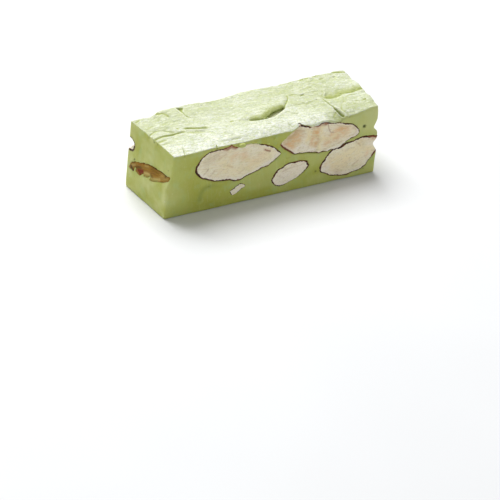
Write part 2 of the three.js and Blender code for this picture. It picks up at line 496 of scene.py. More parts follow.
@dataclass(frozen=True)
class Lattice:
    """Evenly spaced sample points that fill a box."""

    low: Point3
    high: Point3
    pitch: float

    def axes(self) -> Places:
        """Coordinates along X, Y and Z, shaped so that they broadcast against each other.

        Returns:
            The three sets of coordinates.
        """
        lines = []
        for axis in range(3):
            count = int(math.ceil((self.high[axis] - self.low[axis]) / self.pitch)) + 1
            shape = [1, 1, 1]
            shape[axis] = count
            lines.append((self.low[axis] + self.pitch * np.arange(count)).reshape(shape))
        return tuple(lines)

    def meets(self, other: "Lattice") -> bool:
        """Whether this lattice's box overlaps another's."""
        return all(self.low[i] < other.high[i] and other.low[i] < self.high[i] for i in range(3))

    def surface(self, values: Array) -> tuple[Array, Array]:
        """Quads of the surface where the field is zero, without loose crumbs.

        Args:
            values: Field on the lattice, negative inside the solid.

        Returns:
            Vertices in millimetres and quads of vertex numbers, facing out.
        """
        grid = vdb.FloatGrid(3.0)
        grid.copyFromArray(np.clip(values, -3.0, 3.0).astype(np.float32))
        points, quads = grid.convertToQuads(isovalue=0.0)
        return keep_largest(points.astype(float) * self.pitch + np.array(self.low), quads.astype(int))

    def read(self, values: Array, points: Array) -> Array:
        """Reads a field, or a map over X and Y, at free points by linear interpolation.

        Args:
            values: Field on the lattice, or map on its X and Y.
            points: Points, one row each.

        Returns:
            One value for each point.
        """
        axes = values.ndim
        place = (points[:, :axes] - np.array(self.low[:axes])) / self.pitch
        base = np.clip(np.floor(place).astype(int), 0, np.array(values.shape) - 2)
        part = np.clip(place - base, 0.0, 1.0)
        total = np.zeros(len(points))
        for corner, weight in cell_corners(list(part.T)):
            total += weight * values[tuple((base + corner).T)]
        return total

    def slopes(self, values: Array, points: Array) -> Array:
        """Slope of a field along each axis at free points, one row each."""
        return np.stack([self.read(s, points) for s in np.gradient(values, self.pitch)], 1)


@dataclass(frozen=True)
class Limit:
    """Box that nothing may leave."""

    low: Point3
    high: Point3

    def distance(self, at: Places) -> Array:
        """Distance beyond the box, negative inside."""
        sides = [np.maximum(low - c, c - high) for c, low, high in zip(at, self.low, self.high)]
        return np.maximum(np.maximum(sides[0], sides[1]), sides[2])

    def lattice(self, margin: float, bottom: float, pitch: float) -> Lattice:
        """Lattice from the given bottom up that holds the box, with a margin all round."""
        low = (self.low[0] - margin, self.low[1] - margin, bottom)
        return Lattice(low, tuple(v + margin for v in self.high), pitch)


def cad_limit() -> Limit:
    """Box of the CAD in the bar's own frame, drawn in by a little on all sides but the underside."""
    low, high = (np.array(c) / MM - np.array(FRAME_SHIFT) for c in CAD_BOX)
    return Limit(tuple(low + (BOX_SPARE, BOX_SPARE, 0.0)), tuple(high - BOX_SPARE))


def blurred(values: Array, radius: float) -> Array:
    """Map smoothed with a Gaussian.

    Args:
        values: The map.
        radius: Radius in cells.

    Returns:
        The smooth map.
    """
    reach = int(math.ceil(2.5 * radius))
    weights = bell(np.arange(-reach, reach + 1.0), radius)
    weights /= weights.sum()
    padded = np.pad(values, reach, mode="edge")
    rows = sum(w * padded[k : k + values.shape[0], :] for k, w in enumerate(weights))
    return sum(w * rows[:, k : k + values.shape[1]] for k, w in enumerate(weights))


def keep_largest(points: Array, quads: Array) -> tuple[Array, Array]:
    """Drops loose crumbs and keeps the one largest connected shell.

    Args:
        points: Vertices.
        quads: Faces as vertex numbers.

    Returns:
        Vertices and faces of the largest shell.
    """
    label = np.arange(len(points))
    settled = False
    while not settled:
        merged = label.copy()
        np.minimum.at(merged, quads.ravel(), np.repeat(label[quads].min(axis=1), 4))
        merged = merged[merged]
        settled = np.array_equal(merged, label)
        label = merged
    names, counts = np.unique(label[quads[:, 0]], return_counts=True)
    kept = quads[label[quads[:, 0]] == names[counts.argmax()]]
    used, renumbered = np.unique(kept, return_inverse=True)
    return points[used], renumbered.reshape(kept.shape)


def make_piece(name: str, points: Array, quads: Array, attributes: dict[str, Array]) -> Piece:
    """Makes a smooth-shaded mesh object from millimetre points.

    Args:
        name: Object name.
        points: Vertices in the bar's own frame, in millimetres.
        quads: Faces as vertex numbers.
        attributes: Values for each vertex, by attribute name.

    Returns:
        The new object, linked to the scene.
    """
    placed = (points + np.array(FRAME_SHIFT)) * MM
    mesh = bpy.data.meshes.new(name)
    mesh.vertices.add(len(placed))
    mesh.vertices.foreach_set("co", placed.astype(np.float32).ravel())
    mesh.loops.add(quads.size)
    mesh.loops.foreach_set("vertex_index", quads.astype(np.int32).ravel())
    mesh.polygons.add(len(quads))
    mesh.polygons.foreach_set("loop_start", np.arange(0, quads.size, 4, dtype=np.int32))
    mesh.update(calc_edges=True)
    mesh.validate()
    mesh.shade_smooth()
    for key, values in attributes.items():
        layer = mesh.attributes.new(key, "FLOAT", "POINT")
        layer.data.foreach_set("value", values.astype(np.float32))
    return link(name, mesh)


def link(name: str, data: bpy.types.ID) -> bpy.types.Object:
    """Makes an object and links it to the scene.

    Args:
        name: Name of the object.
        data: Its mesh, light or camera.

    Returns:
        The object.
    """
    made = bpy.data.objects.new(name, data)
    bpy.context.scene.collection.objects.link(made)
    return made


# ---- The bar's outer form ----


RIDGE, CREASE, CRACK, VALLEY = FoldKind

TOP_FOLDS: tuple[Fold, ...] = (
    # the wide lobe that ends in a hook, the dark lines round the opening under it and the crack beyond
    Fold(CREASE, 0.2, 5.0, 0.0, path(
        -8.7, -0.9, -7.1, -1, -5.6, -1.4, -3.9, -1.9, -2.3, -2.3, -1, -2.4, 0, -2.2, 1.2, -1.5, 2.6, -0.8,
        4, -0.4, 5.4, -0.2, 6.4, 0.1, 7.6, 1.1, 8.5, 2, 9.2, 2.8, 9.5, 3.5, 9.7, 4.6, 9.8, 5.5,
    ), lift=0.24, lip=0.6, fade=(5.0, 8.0)),
    Fold(CREASE, 0.0, 1.0, 0.52, path(
        -4.6, -1.6, -3.8, -1.8, -2.3, -2.15, -1, -2.2, 0, -2, 1.1, -1.3, 2.7, -0.6, 4.4, -0.4, 6.4, 0.1,
        7.2, 0.8,
    ), spread=(1.25, 0.16), fade=(1.2, 1.4)),
    Fold(CRACK, 0.12, 0.22, 0.56, path(-8.9, -0.8, -8.3, -0.75, -7.6, -0.85), fade=(0.2, 0.4)),
    Fold(CRACK, 0.4, 0.26, 0.92, path(
        -4.5, -1.7, -3.7, -1.85, -2.3, -2.2, -1, -2.4, -0.1, -2.6, 1.1, -2.8,
    ), spread=(0.17, 0.14), fade=(1.0, 0.6)),
    Fold(CRACK, 0.15, 0.26, 0.95, path(
        -0.2, -2.4, 1.2, -1.55, 2.6, -0.85, 4, -0.45, 5.4, -0.25, 6.4, 0,
    ), spread=(0.17, 0.14), fade=(0.0, 0.0)),
    Fold(CRACK, 0.26, 0.18, 0.62, path(
        6.1, -0.3, 7.8, 1.3, 9.1, 2.7, 9.5, 3.5, 9.65, 4.4, 9.5, 5.2,
    ), spread=(0.13, 0.11), fade=(0.2, 2.4)),
    Fold(RIDGE, 0.1, 0.42, 0.0, path(-0.4, -3.15, 1.2, -3.35, 2.4, -3.15, 3.6, -2.6, 4.9, -2, 6.5, -1.1)),
    Fold(CRACK, 0.15, 0.22, 0.4, path(6.7, -0.1, 7.3, -0.5, 7.6, -1.1)),
    Fold(CRACK, 0.12, 0.24, 0.35, path(9.5, 3.4, 11.3, 3.6, 12.3, 3, 12.9, 2.6)),
    # folds that fan out to the left end
    Fold(CREASE, 0.1, 0.9, 0.38, path(
        -28.8, 3.5, -28.2, 3.7, -27.4, 3.9, -26.4, 4.4, -25.4, 4.7,
    ), lift=0.05, spread=(0.5, 0.3)),
    Fold(RIDGE, 0.13, 0.5, 0.0, path(
        -29.4, 2.8, -28.8, 3.1, -27.2, 3.6, -25.2, 3.9, -23.9, 3.5, -23.1, 2.5, -22.3, 1.3, -21.8, 0.2,
    ), fade=(0.0, 1.2)),
    Fold(CREASE, 0.2, 1.6, 0.58, path(
        -29.4, 0.8, -28.3, 1.6, -27.4, 2.1, -26.4, 2.5, -25.2, 2.4, -24.1, 1.6, -23.3, 0.5, -22.7, -0.3,
    ), lift=0.08, lip=0.18, spread=(0.15, 0.12), fade=(0.0, 0.8)),
    Fold(RIDGE, 0.07, 0.32, 0.0, path(-28.6, 0.8, -27.4, 1.5, -26.4, 1.9, -25.4, 1.8, -24.6, 1.4)),
    Fold(CREASE, 0.26, 1.6, 0.56, path(
        -29.8, -1.3, -29, -1, -28.1, -0.6, -26.5, -0.1, -25.2, 0, -24, -0.2, -22.9, -0.5, -21.3, -0.7,
        -20.5, -1,
    ), lift=0.1, lip=0.24, spread=(0.34, 0.42), fade=(0.0, 0.8)),
    Fold(CRACK, 0.1, 0.16, 0.7, path(
        -26.2, -0.3, -25.2, 0, -24, -0.2, -22.9, -0.6, -21.3, -0.85, -20.4, -1.1,
    ), spread=(0.11, 0.11), fade=(2.0, 0.5)),
    Fold(RIDGE, 0.09, 0.26, 0.0, path(
        -29.2, -1.6, -28.2, -1.3, -27.1, -1.1, -25.8, -0.95, -24.2, -1, -22.6, -1.4, -21.2, -1.7,
    )),
    Fold(CREASE, 0.18, 0.6, 0.42, path(-22, 1.5, -21.8, 0.9, -21.6, 0.2), lift=0.1, fade=(0.4, 0.4)),
    Fold(CREASE, 0.12, 0.7, 0.3, path(-28.4, -3.4, -27, -3.1, -25.2, -3.2), lift=0.08),
    # the two folds that close the fan
    Fold(CREASE, 0.28, 1.6, 0.64, path(
        -21.3, 0.2, -20.2, 0.15, -19.2, 0, -18.2, -0.4, -17.3, -0.75, -16.5, -0.95, -15.6, -1.15,
        -14.8, -1.4, -13.9, -1.5,
    ), lift=0.1, spread=(0.44, 0.26), fade=(1.8, 2.0)),
    Fold(RIDGE, 0.11, 0.26, 0.0, path(
        -21, -0.2, -20.1, -0.4, -18.2, -1.05, -16.8, -1.5, -15.5, -1.85, -14.2, -2.1,
    )),
    Fold(CREASE, 0.2, 1.4, 0.44, path(
        -20.8, -0.95, -20, -1.2, -19.3, -1.5, -18.3, -1.75, -17.3, -2.05, -16.5, -2.4, -15.7, -2.8,
    ), lift=0.06, lip=0.4, spread=(0.13, 0.62), fade=(0.6, 1.6)),
    # creases along the back edge
    Fold(CRACK, 0.26, 0.34, 0.6, path(
        -17.5, 6.6, -17.4, 5.5, -17.4, 4.9, -17.2, 4.2, -16.8, 3.4, -16.4, 2.9,
    ), spread=(0.22, 0.18), fade=(0.0, 1.6)),
    Fold(RIDGE, 0.14, 0.36, 0.0, path(-18.4, 7.2, -17.9, 5.8, -17.7, 4.6, -17.5, 3.6)),
    Fold(CREASE, 0.16, 1.1, 0.5, path(
        -23, 8.3, -22.6, 7.7, -22, 7.5, -21.6, 7, -21.4, 6.3, -21.1, 5.4, -20.6, 4.9,
    ), lift=0.06, spread=(0.45, 0.25), fade=(0.0, 1.4)),
    Fold(CREASE, 0.1, 0.6, 0.62, path(-28.9, 7.5, -27.9, 7.8, -27.1, 8), lift=0.05, fade=(0.3, 0.5)),
    Fold(CRACK, 0.16, 0.4, 0.5, path(16, 8.2, 16.8, 8.2), fade=(0.0, 0.0)),
    Fold(CRACK, 0.14, 0.35, 0.45, path(17.6, 8.2, 18.1, 8.2), fade=(0.0, 0.0)),
    Fold(CRACK, 0.16, 0.4, 0.55, path(19.7, 8.4, 20.5, 8.4), fade=(0.0, 0.0)),
    Fold(CRACK, 0.16, 0.35, 0.5, path(20.8, 6.7, 21.4, 6.7), fade=(0.0, 0.0)),
    Fold(CRACK, 0.12, 0.3, 0.4, path(24.5, 6.7, 24.9, 6.7), fade=(0.0, 0.0)),
    Fold(CREASE, 0.18, 0.9, 0.6, path(
        24.6, 8.7, 25.2, 8.4, 26.3, 7.8, 28.1, 7.4, 29.2, 7.2,
    ), lift=0.05, spread=(0.5, 0.25), fade=(0.4, 0.0)),
    Fold(RIDGE, 0.11, 0.35, 0.0, path(25.2, 7.6, 26.5, 7.2, 28.2, 6.8, 29.2, 6.6), fade=(0.6, 0.0)),
    Fold(CREASE, 0.12, 0.6, 0.32, path(24.3, 6.9, 25.1, 6.4, 26.2, 5.5, 26.9, 4.6), lift=0.06),
    # small creases of the middle and the front lip
    Fold(CREASE, 0.1, 0.6, 0.3, path(-12.4, -6.6, -10.5, -6.8, -8.8, -6.6), lift=0.06),
    Fold(CREASE, 0.1, 0.5, 0.32, path(-1.2, -4.6, -0.3, -4.8, 0.1, -5.1), lift=0.04, fade=(0.3, 0.3)),
    Fold(CREASE, 0.1, 0.5, 0.3, path(3.7, -5.7, 4.1, -6.5, 4.5, -7.2), lift=0.04, fade=(0.3, 0.3)),
    Fold(CREASE, 0.12, 0.8, 0.28, path(5.5, -2.1, 6.3, -2.6, 7.3, -3.4, 8.7, -3.7), lift=0.06),
    Fold(CRACK, 0.14, 0.18, 0.45, path(
        -24.1, -5.2, -24.6, -7, -25.3, -8.8,
    ), spread=(0.14, 0.14), fade=(1.2, 0.0)),
    Fold(CRACK, 0.3, 0.22, 0.8, path(-16.2, -7, -16.9, -9), spread=(0.16, 0.14), fade=(0.6, 0.0)),
    Fold(RIDGE, 0.12, 0.3, 0.0, path(-14.8, -6.5, -11, -6.2, -7.2, -6.6)),
    # creases behind the almonds at the right
    Fold(CRACK, 0.26, 0.24, 0.6, path(
        12.4, 2.5, 13.2, 2.75, 13.9, 2.6,
    ), spread=(0.2, 0.16), fade=(0.3, 0.3)),
    Fold(RIDGE, 0.1, 0.4, 0.0, path(12.4, 3.1, 14.4, 3.3, 16.1, 3.7)),
    Fold(CREASE, 0.1, 1.0, 0.24, path(
        9.1, 0.1, 9.7, -0.5, 10.8, -0.6, 11.6, -0.4, 12.1, -0.9, 13.3, -0.6, 14.3, -0.8, 15.3, -0.7,
    ), lift=0.1, spread=(0.7, 0.35), fade=(1.0, 2.0)),
    Fold(CREASE, 0.1, 0.5, 0.26, path(15.4, 2.5, 16.4, 2.7, 17.4, 3, 18, 2.6), lift=0.06),
    Fold(CREASE, 0.1, 0.5, 0.26, path(15.3, 4.7, 16.5, 4.6, 18.3, 5.3, 19.1, 5.1), lift=0.06),
    # the deep cut at the right, its bright rim and the little facet beside it
    Fold(CRACK, 0.34, 0.24, 0.8, path(
        16.8, 0.3, 16.9, -0.2, 17.1, -1.5, 17.3, -3, 17.6, -4.1, 17.6, -5.1,
    ), spread=(0.15, 0.14), fade=(1.2, 0.0)),
    Fold(CRACK, 0.9, 0.42, 1.5, path(
        17.4, -4, 17.6, -5.2, 17.95, -6.3, 18.3, -7.1, 18.7, -7.8,
    ), spread=(0.24, 0.22), fade=(0.9, 1.2)),
    Fold(RIDGE, 0.22, 0.32, 0.0, path(
        17.9, -3.6, 18.2, -5, 18.5, -6, 18.9, -7, 19.1, -8.2,
    ), fade=(1.6, 0.4)),
    Fold(CREASE, 0.16, 0.9, 0.26, path(
        18.4, -5.2, 18.9, -5.7, 19.4, -6.3, 19.7, -7, 19.9, -8,
    ), lift=0.06, fade=(0.5, 0.0)),
    Fold(CREASE, 0.12, 1.2, 0.36, path(18.8, 3.2, 18.2, 1.7, 17.5, 0.9, 16.9, -0.3), lift=0.06),
    Fold(CREASE, 0.14, 0.6, 0.5, path(
        17.2, -5.6, 16.8, -6, 16.3, -6.4, 15.6, -7.1,
    ), lift=0.08, fade=(0.3, 0.3)),
    # the valley that runs out at the right end
    Fold(VALLEY, 0.36, 0.75, 0.56, path(
        17.2, 0.7, 18, -0.1, 19, -0.4, 20.5, -0.5, 22.1, -0.1, 23.4, 0.35, 24.5, 0.15, 25.3, 0, 26.2, 0,
        27.1, -0.2, 28.4, -0.4, 29.6, -0.6,
    ), spread=(1.6, 0.3), fade=(1.4, 0.0)),
    Fold(CRACK, 0.12, 0.24, 0.62, path(
        22, 0.2, 23.4, 0.4, 24.2, 0.3, 25.3, 0, 26.2, 0, 27.1, -0.2, 28.4, -0.4,
    ), spread=(0.26, 0.15), fade=(0.6, 0.0)),
    Fold(RIDGE, 0.14, 0.4, 0.0, path(
        22.9, -1, 24, -0.65, 24.9, -0.5, 25.9, -0.5, 27.3, -0.7, 28.9, -0.9,
    ), fade=(1.0, 0.0)),
    Fold(CREASE, 0.12, 0.5, 0.4, path(23.5, -1.3, 24.4, -1.2, 25.3, -1.4, 26.4, -1.4), lift=0.04),
    Fold(CREASE, 0.08, 0.8, 0.3, path(
        19.4, -4.2, 20.9, -3.2, 22.2, -2.2, 23.7, -1.2,
    ), lift=0.05, spread=(0.2, 0.16)),
    Fold(CRACK, 0.12, 0.22, 0.4, path(19.8, -4, 19.2, -4.9, 18.9, -5.5), fade=(0.2, 0.2)),
    Fold(CRACK, 0.18, 0.26, 0.65, path(25.8, -4, 26.8, -4.2), fade=(0.1, 0.1)),
    Fold(CRACK, 0.14, 0.24, 0.45, path(24, -3.9, 24.5, -3.9), fade=(0.0, 0.0)),
    Fold(CRACK, 0.12, 0.2, 0.35, path(22.9, -4.7, 23.3, -4.7), fade=(0.0, 0.0)),
)

TOP_HOLLOWS: tuple[Hollow, ...] = (
    Hollow(Outline(path(
        -1, -2.45, 0.1, -2.3, 1.2, -1.5, 2.6, -0.8, 4, -0.4, 5.4, -0.2, 6.8, 0.25, 6.2, -0.7, 4.7, -1.6,
        3.4, -2.2, 2.2, -2.8, 1.1, -2.95, -0.1, -2.8,
    )), depth=0.9, wall=0.35, shade=0.18, stain=0.29),
    Hollow(Outline(path(
        17.1, -5.8, 16.3, -6.8, 15.4, -7.3, 17, -7.7, 18.1, -8.1, 17.8, -7.2,
    )), depth=0.3, wall=0.18, shade=0.24, lean=(0.1, -0.12)),
    Hollow(Outline(path(
        -18, 8.4, -17.4, 8.2, -16.2, 7.8, -16.9, 6.8, -17.4, 6.2, -17.8, 6.9,
    )), depth=0.55, wall=0.4, shade=0.6),
    Hollow(Outline(path(
        -28.7, -1.9, -27.8, -1.5, -26.8, -1.4, -25.9, -1.6, -25.7, -1.9, -26.8, -2.1, -28, -2.5,
        -28.5, -2.4,
    )), depth=0.14, wall=0.3, shade=0.46),
)


@dataclass(frozen=True)
class Bump:
    """A rounded lump on the surface, or a pit where it is sunk."""

    at: Point3
    radii: Point3
    sunk: bool = True

    def distance(self, at: Places) -> Array:
        """Signed distance to the lump, negative inside."""
        own = [(c - p) / r for c, p, r in zip(at, self.at, self.radii)]
        return (np.sqrt(sum(c * c for c in own)) - 1.0) * min(self.radii)


@dataclass(frozen=True)
class BarForm:
    """Outer form of the cut bar: wavering knife cuts on five sides and a pulled, folded top.

    The errors of a face are how far it lies off its place at its left and right end, low and high. The end
    curves give X over Z, the rises and the sag give Z over X or Y.
    """

    length: float = 57.0
    depth: float = 16.8
    height: float = 17.5
    edge_radius: float = 0.24
    front_errors: tuple[Point2, Point2] = ((0.91, -0.07), (-0.34, 0.95))
    back_errors: tuple[Point2, Point2] = ((0.34, 0.36), (0.30, 0.33))
    top_errors: tuple[float, float, float, float] = (-0.43, -0.48, 0.14, 0.80)
    left_front: Curve = Curve(path(
        -1, -28.2, 0.4, -28.42, 2.5, -28.55, 5.5, -28.68, 7.8, -28.66, 9.2, -28.42, 10.4, -28.12,
        12.2, -27.97, 15, -27.97, 17, -28.02, 19.5, -28,
    ))
    left_back: Curve = Curve(path(
        -1, -29.3, 2, -29.5, 5, -29.5, 10.5, -29.5, 13.5, -29.45, 17, -29.4, 19.5, -29.3,
    ))
    right_front: Curve = Curve(path(
        -1, 28.86, 0.9, 28.86, 4, 28.86, 5.6, 28.9, 6.7, 28.3, 7.8, 27.75, 8.9, 28.5, 9.9, 28.9,
        10.9, 28.6, 11.6, 27.8, 12.3, 27.6, 13.2, 28, 14.3, 28.4, 16.3, 28.25, 17.7, 28.1, 19.5, 28,
    ))
    right_back: Curve = Curve(path(-1, 28.5, 4, 28.7, 8, 28.85, 12, 28.75, 15, 28.85, 19.5, 28.9))
    back_rise: Curve = Curve(path(
        -30, 0.2, -27, 0.2, -24.2, 0.1, -22.9, 0.7, -21.6, 1.1, -18.8, 1.2, -15.5, 1.15, -13, 1, -10, 0.6,
        -7.5, 0.5, -4, 0.6, -0.5, 0.85, 3, 0.9, 6.4, 0.7, 9.5, 0.5, 12.5, 0.55, 15, 0.7, 19, 0.75,
        21.7, 0.8, 24, 0.65, 26.9, 0.65, 28.6, 0.4, 30, 0.3,
    ))
    right_rise: Curve = Curve(path(
        -9.5, 0, -6.5, 0, -5.4, 0.3, -3.8, 0.6, -1.8, 0.15, -0.2, 0.75, 1.5, 0.85, 3, 0.5, 4.5, 0,
        6.5, 0.1, 9.5, 0,
    ))
    front_sag: Curve = Curve(path(
        -30, 0.2, -28, 0.25, -23, 0.4, -17, 0.5, -12, 0.7, -9, 0.85, -2.4, 1, 0.2, 0.95, 2.5, 1.15,
        3.8, 1.25, 5, 0.8, 5.9, 0.2, 7, 0.4, 8.4, 0.7, 9.4, 1, 11, 0.95, 12.3, 0.75, 13.4, 0.8,
        14.5, 1.15, 15.8, 1.5, 17, 1.45, 18.9, 1.05, 22, 0.85, 24.6, 0.4, 27, 0.05, 30, 0,
    ))
    right_rise_reach: float = 3.0
    front_sag_depth: float = 2.1
    folds: tuple[Fold, ...] = TOP_FOLDS
    hollows: tuple[Hollow, ...] = TOP_HOLLOWS
    face_grain: float = 0.05
    face_inset: float = 0.03
    face_seed: int = 23
    wave_height: float = 0.1
    wave_length: float = 31.0
    wave_fade: float = 2.6
    pull_seed: int = 11
    pull_bend: Ripple = Ripple(0.9, (9.0, 6.0), 0.0, 1)
    waves: Ripple = Ripple(0.06, (9.0, 2.3), 3.0)
    fibre_patches: Ripple = Ripple(1.0, (6.0, 4.0), 21.0, 1)
    fibres: Ripple = Ripple(0.05, (2.3, 0.8), 7.0, 3, 0.6)
    lumps: Ripple = Ripple(0.10, (1.0, 0.8), 15.0)
    swell: Ripple = Ripple(0.07, (11.0, 7.0), 11.0)
    ragged_edge: Ripple = Ripple(0.09, (0.9, 0.9), 19.0)

    def _cut_grain(self, seed: int, u: Array, v: Array, size: Point2, octaves: int) -> Array:
        """How far a knife cut stands out of its plane."""
        rough = Noise(self.face_seed + seed).rough((u, v, 0.0), (*size, 1.0), octaves)
        return self.face_grain * rough - self.face_inset

    def end_x(self, right: bool, y: Array, z: Array) -> Array:
        """X of the left or right cut end.

        Args:
            right: True for the right end.
            y: Coordinates across the end.
            z: Heights.

        Returns:
            X of the surface at each point.
        """
        sign = 1.0 if right else -1.0
        v = share(y, self.depth)
        front, back = (self.right_front, self.right_back) if right else (self.left_front, self.left_back)
        grain = self._cut_grain(int(right), y, z, (5.0, 7.0), 3)
        return front.at(z) * (1 - v) + back.at(z) * v + sign * grain

    def face_y(self, back: bool, x: Array, z: Array) -> Array:
        """Y of the front or back cut face.

        Args:
            back: True for the back face.
            x: Coordinates along the bar.
            z: Heights.

        Returns:
            Y of the surface at each point.
        """
        sign = 1.0 if back else -1.0
        u, w = share(x, self.length), share(z, self.height, 0.0)
        left, right = self.back_errors if back else self.front_errors
        low, high = (a * (1 - u) + b * u for a, b in zip(left, right))
        wave = self.wave_height * np.sin(2 * math.pi * (x + 1.3 * z) / self.wave_length)
        wave = wave * smoothstep(0.0, self.wave_fade, z) * (1 - smoothstep(0.55, 1.0, w))
        grain = self._cut_grain(5 + int(back), x, z, (8.0, 5.0), 4)
        return sign * self.depth / 2 + low * (1 - w) + high * w + wave + sign * grain

    def plain_top(self, x: Array, y: Array) -> Array:
        """Height of the top without its folds.

        Args:
            x: Coordinates along the bar.
            y: Coordinates across it.

        Returns:
            Z of the plain surface.
        """
        u, v = share(x, self.length), share(y, self.depth)
        left_low, left_high, right_low, right_high = self.top_errors
        front = left_low * (1 - u) + right_low * u
        back = left_high * (1 - u) + right_high * u + self.back_rise.at(x)
        near_right = smoothstep(-self.right_rise_reach, 0.0, x - self.length / 2)
        sag = self.front_sag.at(x) * bell(np.maximum(y + self.depth / 2, 0.0), self.front_sag_depth)
        return self.height + front * (1 - v) + back * v + self.right_rise.at(y) * near_right - sag

    def top_z(self, x: Array, y: Array) -> Array:
        """Height of the folded top.

        Args:
            x: Coordinates along the bar.
            y: Coordinates across it.

        Returns:
            Z of the surface at each point.
        """
        x, y = np.broadcast_arrays(x, y)
        relief = sum(part.height(x, y) for part in self.folds + self.hollows)
        pull = Noise(self.pull_seed)
        bent = y + self.pull_bend.at(pull, x, y)
        patch = smoothstep(-0.4, 0.5, self.fibre_patches.at(pull, x, y))
        rumple = bell(x + 20.0, 3.0) * bell(y - 5.0, 2.6) + bell(x - 13.5, 4.0) * bell(y - 5.0, 2.4)
        fine = self.waves.at(pull, x, bent) + patch * self.fibres.at(pull, x, bent)
        fine = fine + rumple * self.lumps.at(pull, x, y) + self.swell.at(pull, x, y)
        fine = fine + bell(y - self.depth / 2, 1.6) * self.ragged_edge.at(pull, x, y)
        return self.plain_top(x, y) + relief + fine

    def top_shade(self, x: Array, y: Array) -> Array:
        """How green and dark the folds make each point of the top, from 0 up."""
        return np.maximum.reduce([part.tint(x, y) for part in self.folds + self.hollows])

    def top_stain(self, x: Array, y: Array) -> Array:
        """How brown the floors of the pits are, from 0 to 1."""
        return np.maximum.reduce([pit.browned(x, y) for pit in self.hollows])

    def beyond_ends(self, x: Array, y: Array, z: Array) -> Array:
        """Distance beyond the nearer end, negative between them."""
        return np.maximum(self.end_x(False, y, z) - x, x - self.end_x(True, y, z))

    def beyond_faces(self, x: Array, y: Array, z: Array) -> Array:
        """Distance beyond the front or back face, negative between them."""
        return np.maximum(self.face_y(False, x, z) - y, y - self.face_y(True, x, z))

    def distance(self, at: Places) -> Array:
        """Signed distance to the outer form, negative inside.

        Args:
            at: Lattice X, Y and Z.

        Returns:
            Distance at each lattice point.
        """
        x, y, z = at
        radius = self.edge_radius
        top = np.maximum(-z, z - self.top_z(x, y))
        beyond = [side + radius for side in (self.beyond_ends(*at), self.beyond_faces(*at), top)]
        outside = np.sqrt(sum(np.maximum(side, 0.0) ** 2 for side in beyond))
        inside = np.minimum(np.maximum(np.maximum(beyond[0], beyond[1]), beyond[2]), 0.0)
        return outside + inside - radius


# ---- Almonds ----


class Side(Enum):
    """Which pair of faces an almond's own outline and marks are drawn on."""

    LONG = "a long face, drawn over X and Z"
    END = "a cut end, drawn over Y and Z"


class Layer(Enum):
    """What a mark does to an almond: to its skin's width or to its colour."""

    THICK = "thick"
    BARE = "bare"
    WARM = "warm"
    CREAM = "cream"
    PALE = "pale"
    GREY = "grey"
    RUST = "rust"


@dataclass(frozen=True)
class Mark:
    """A soft spot or stroke on an almond's cut face, along a path in face coordinates."""

    layer: Layer
    width: float
    strength: float
    path: Path

    def at(self, u: Array, v: Array) -> Array:
        """Strength at each point of the face.

        Args:
            u: First face coordinate.
            v: Second face coordinate.

        Returns:
            The mark's strength, which is full on its path.
        """
        if len(self.path) == 1:
            return self.strength * bell(np.hypot(u - self.path[0][0], v - self.path[0][1]), self.width)
        return self.strength * bell(read_path(u, v, self.path).distance, self.width)


@dataclass(frozen=True)
class Break:
    """Plane where an almond snapped: it passes through a point, and the kept side is in front of it."""

    through: Point3
    facing: Point3

    def beyond(self, at: Places, ragged: Array) -> Array:
        """Distance behind the plane, made uneven by the given height."""
        normal = np.array(self.facing) / np.linalg.norm(self.facing)
        return ragged - sum(n * (p - q) for n, p, q in zip(normal, at, self.through))


@dataclass(frozen=True)
class Step:
    """A step in a cut face, along a path; the first side of the path is higher by the given size."""

    path: Path
    size: float
    width: float
    reach: float = 9.0

    def height(self, u: Array, v: Array) -> Array:
        """Height that the step adds to the face.

        Args:
            u: First face coordinate.
            v: Second face coordinate.

        Returns:
            Height at each point.
        """
        at = read_path(u, v, self.path)
        signed = at.distance * at.side
        fall = bell(np.maximum(signed, 0.0), self.reach)
        return self.size * smoothstep(-self.width, self.width, signed) * fall


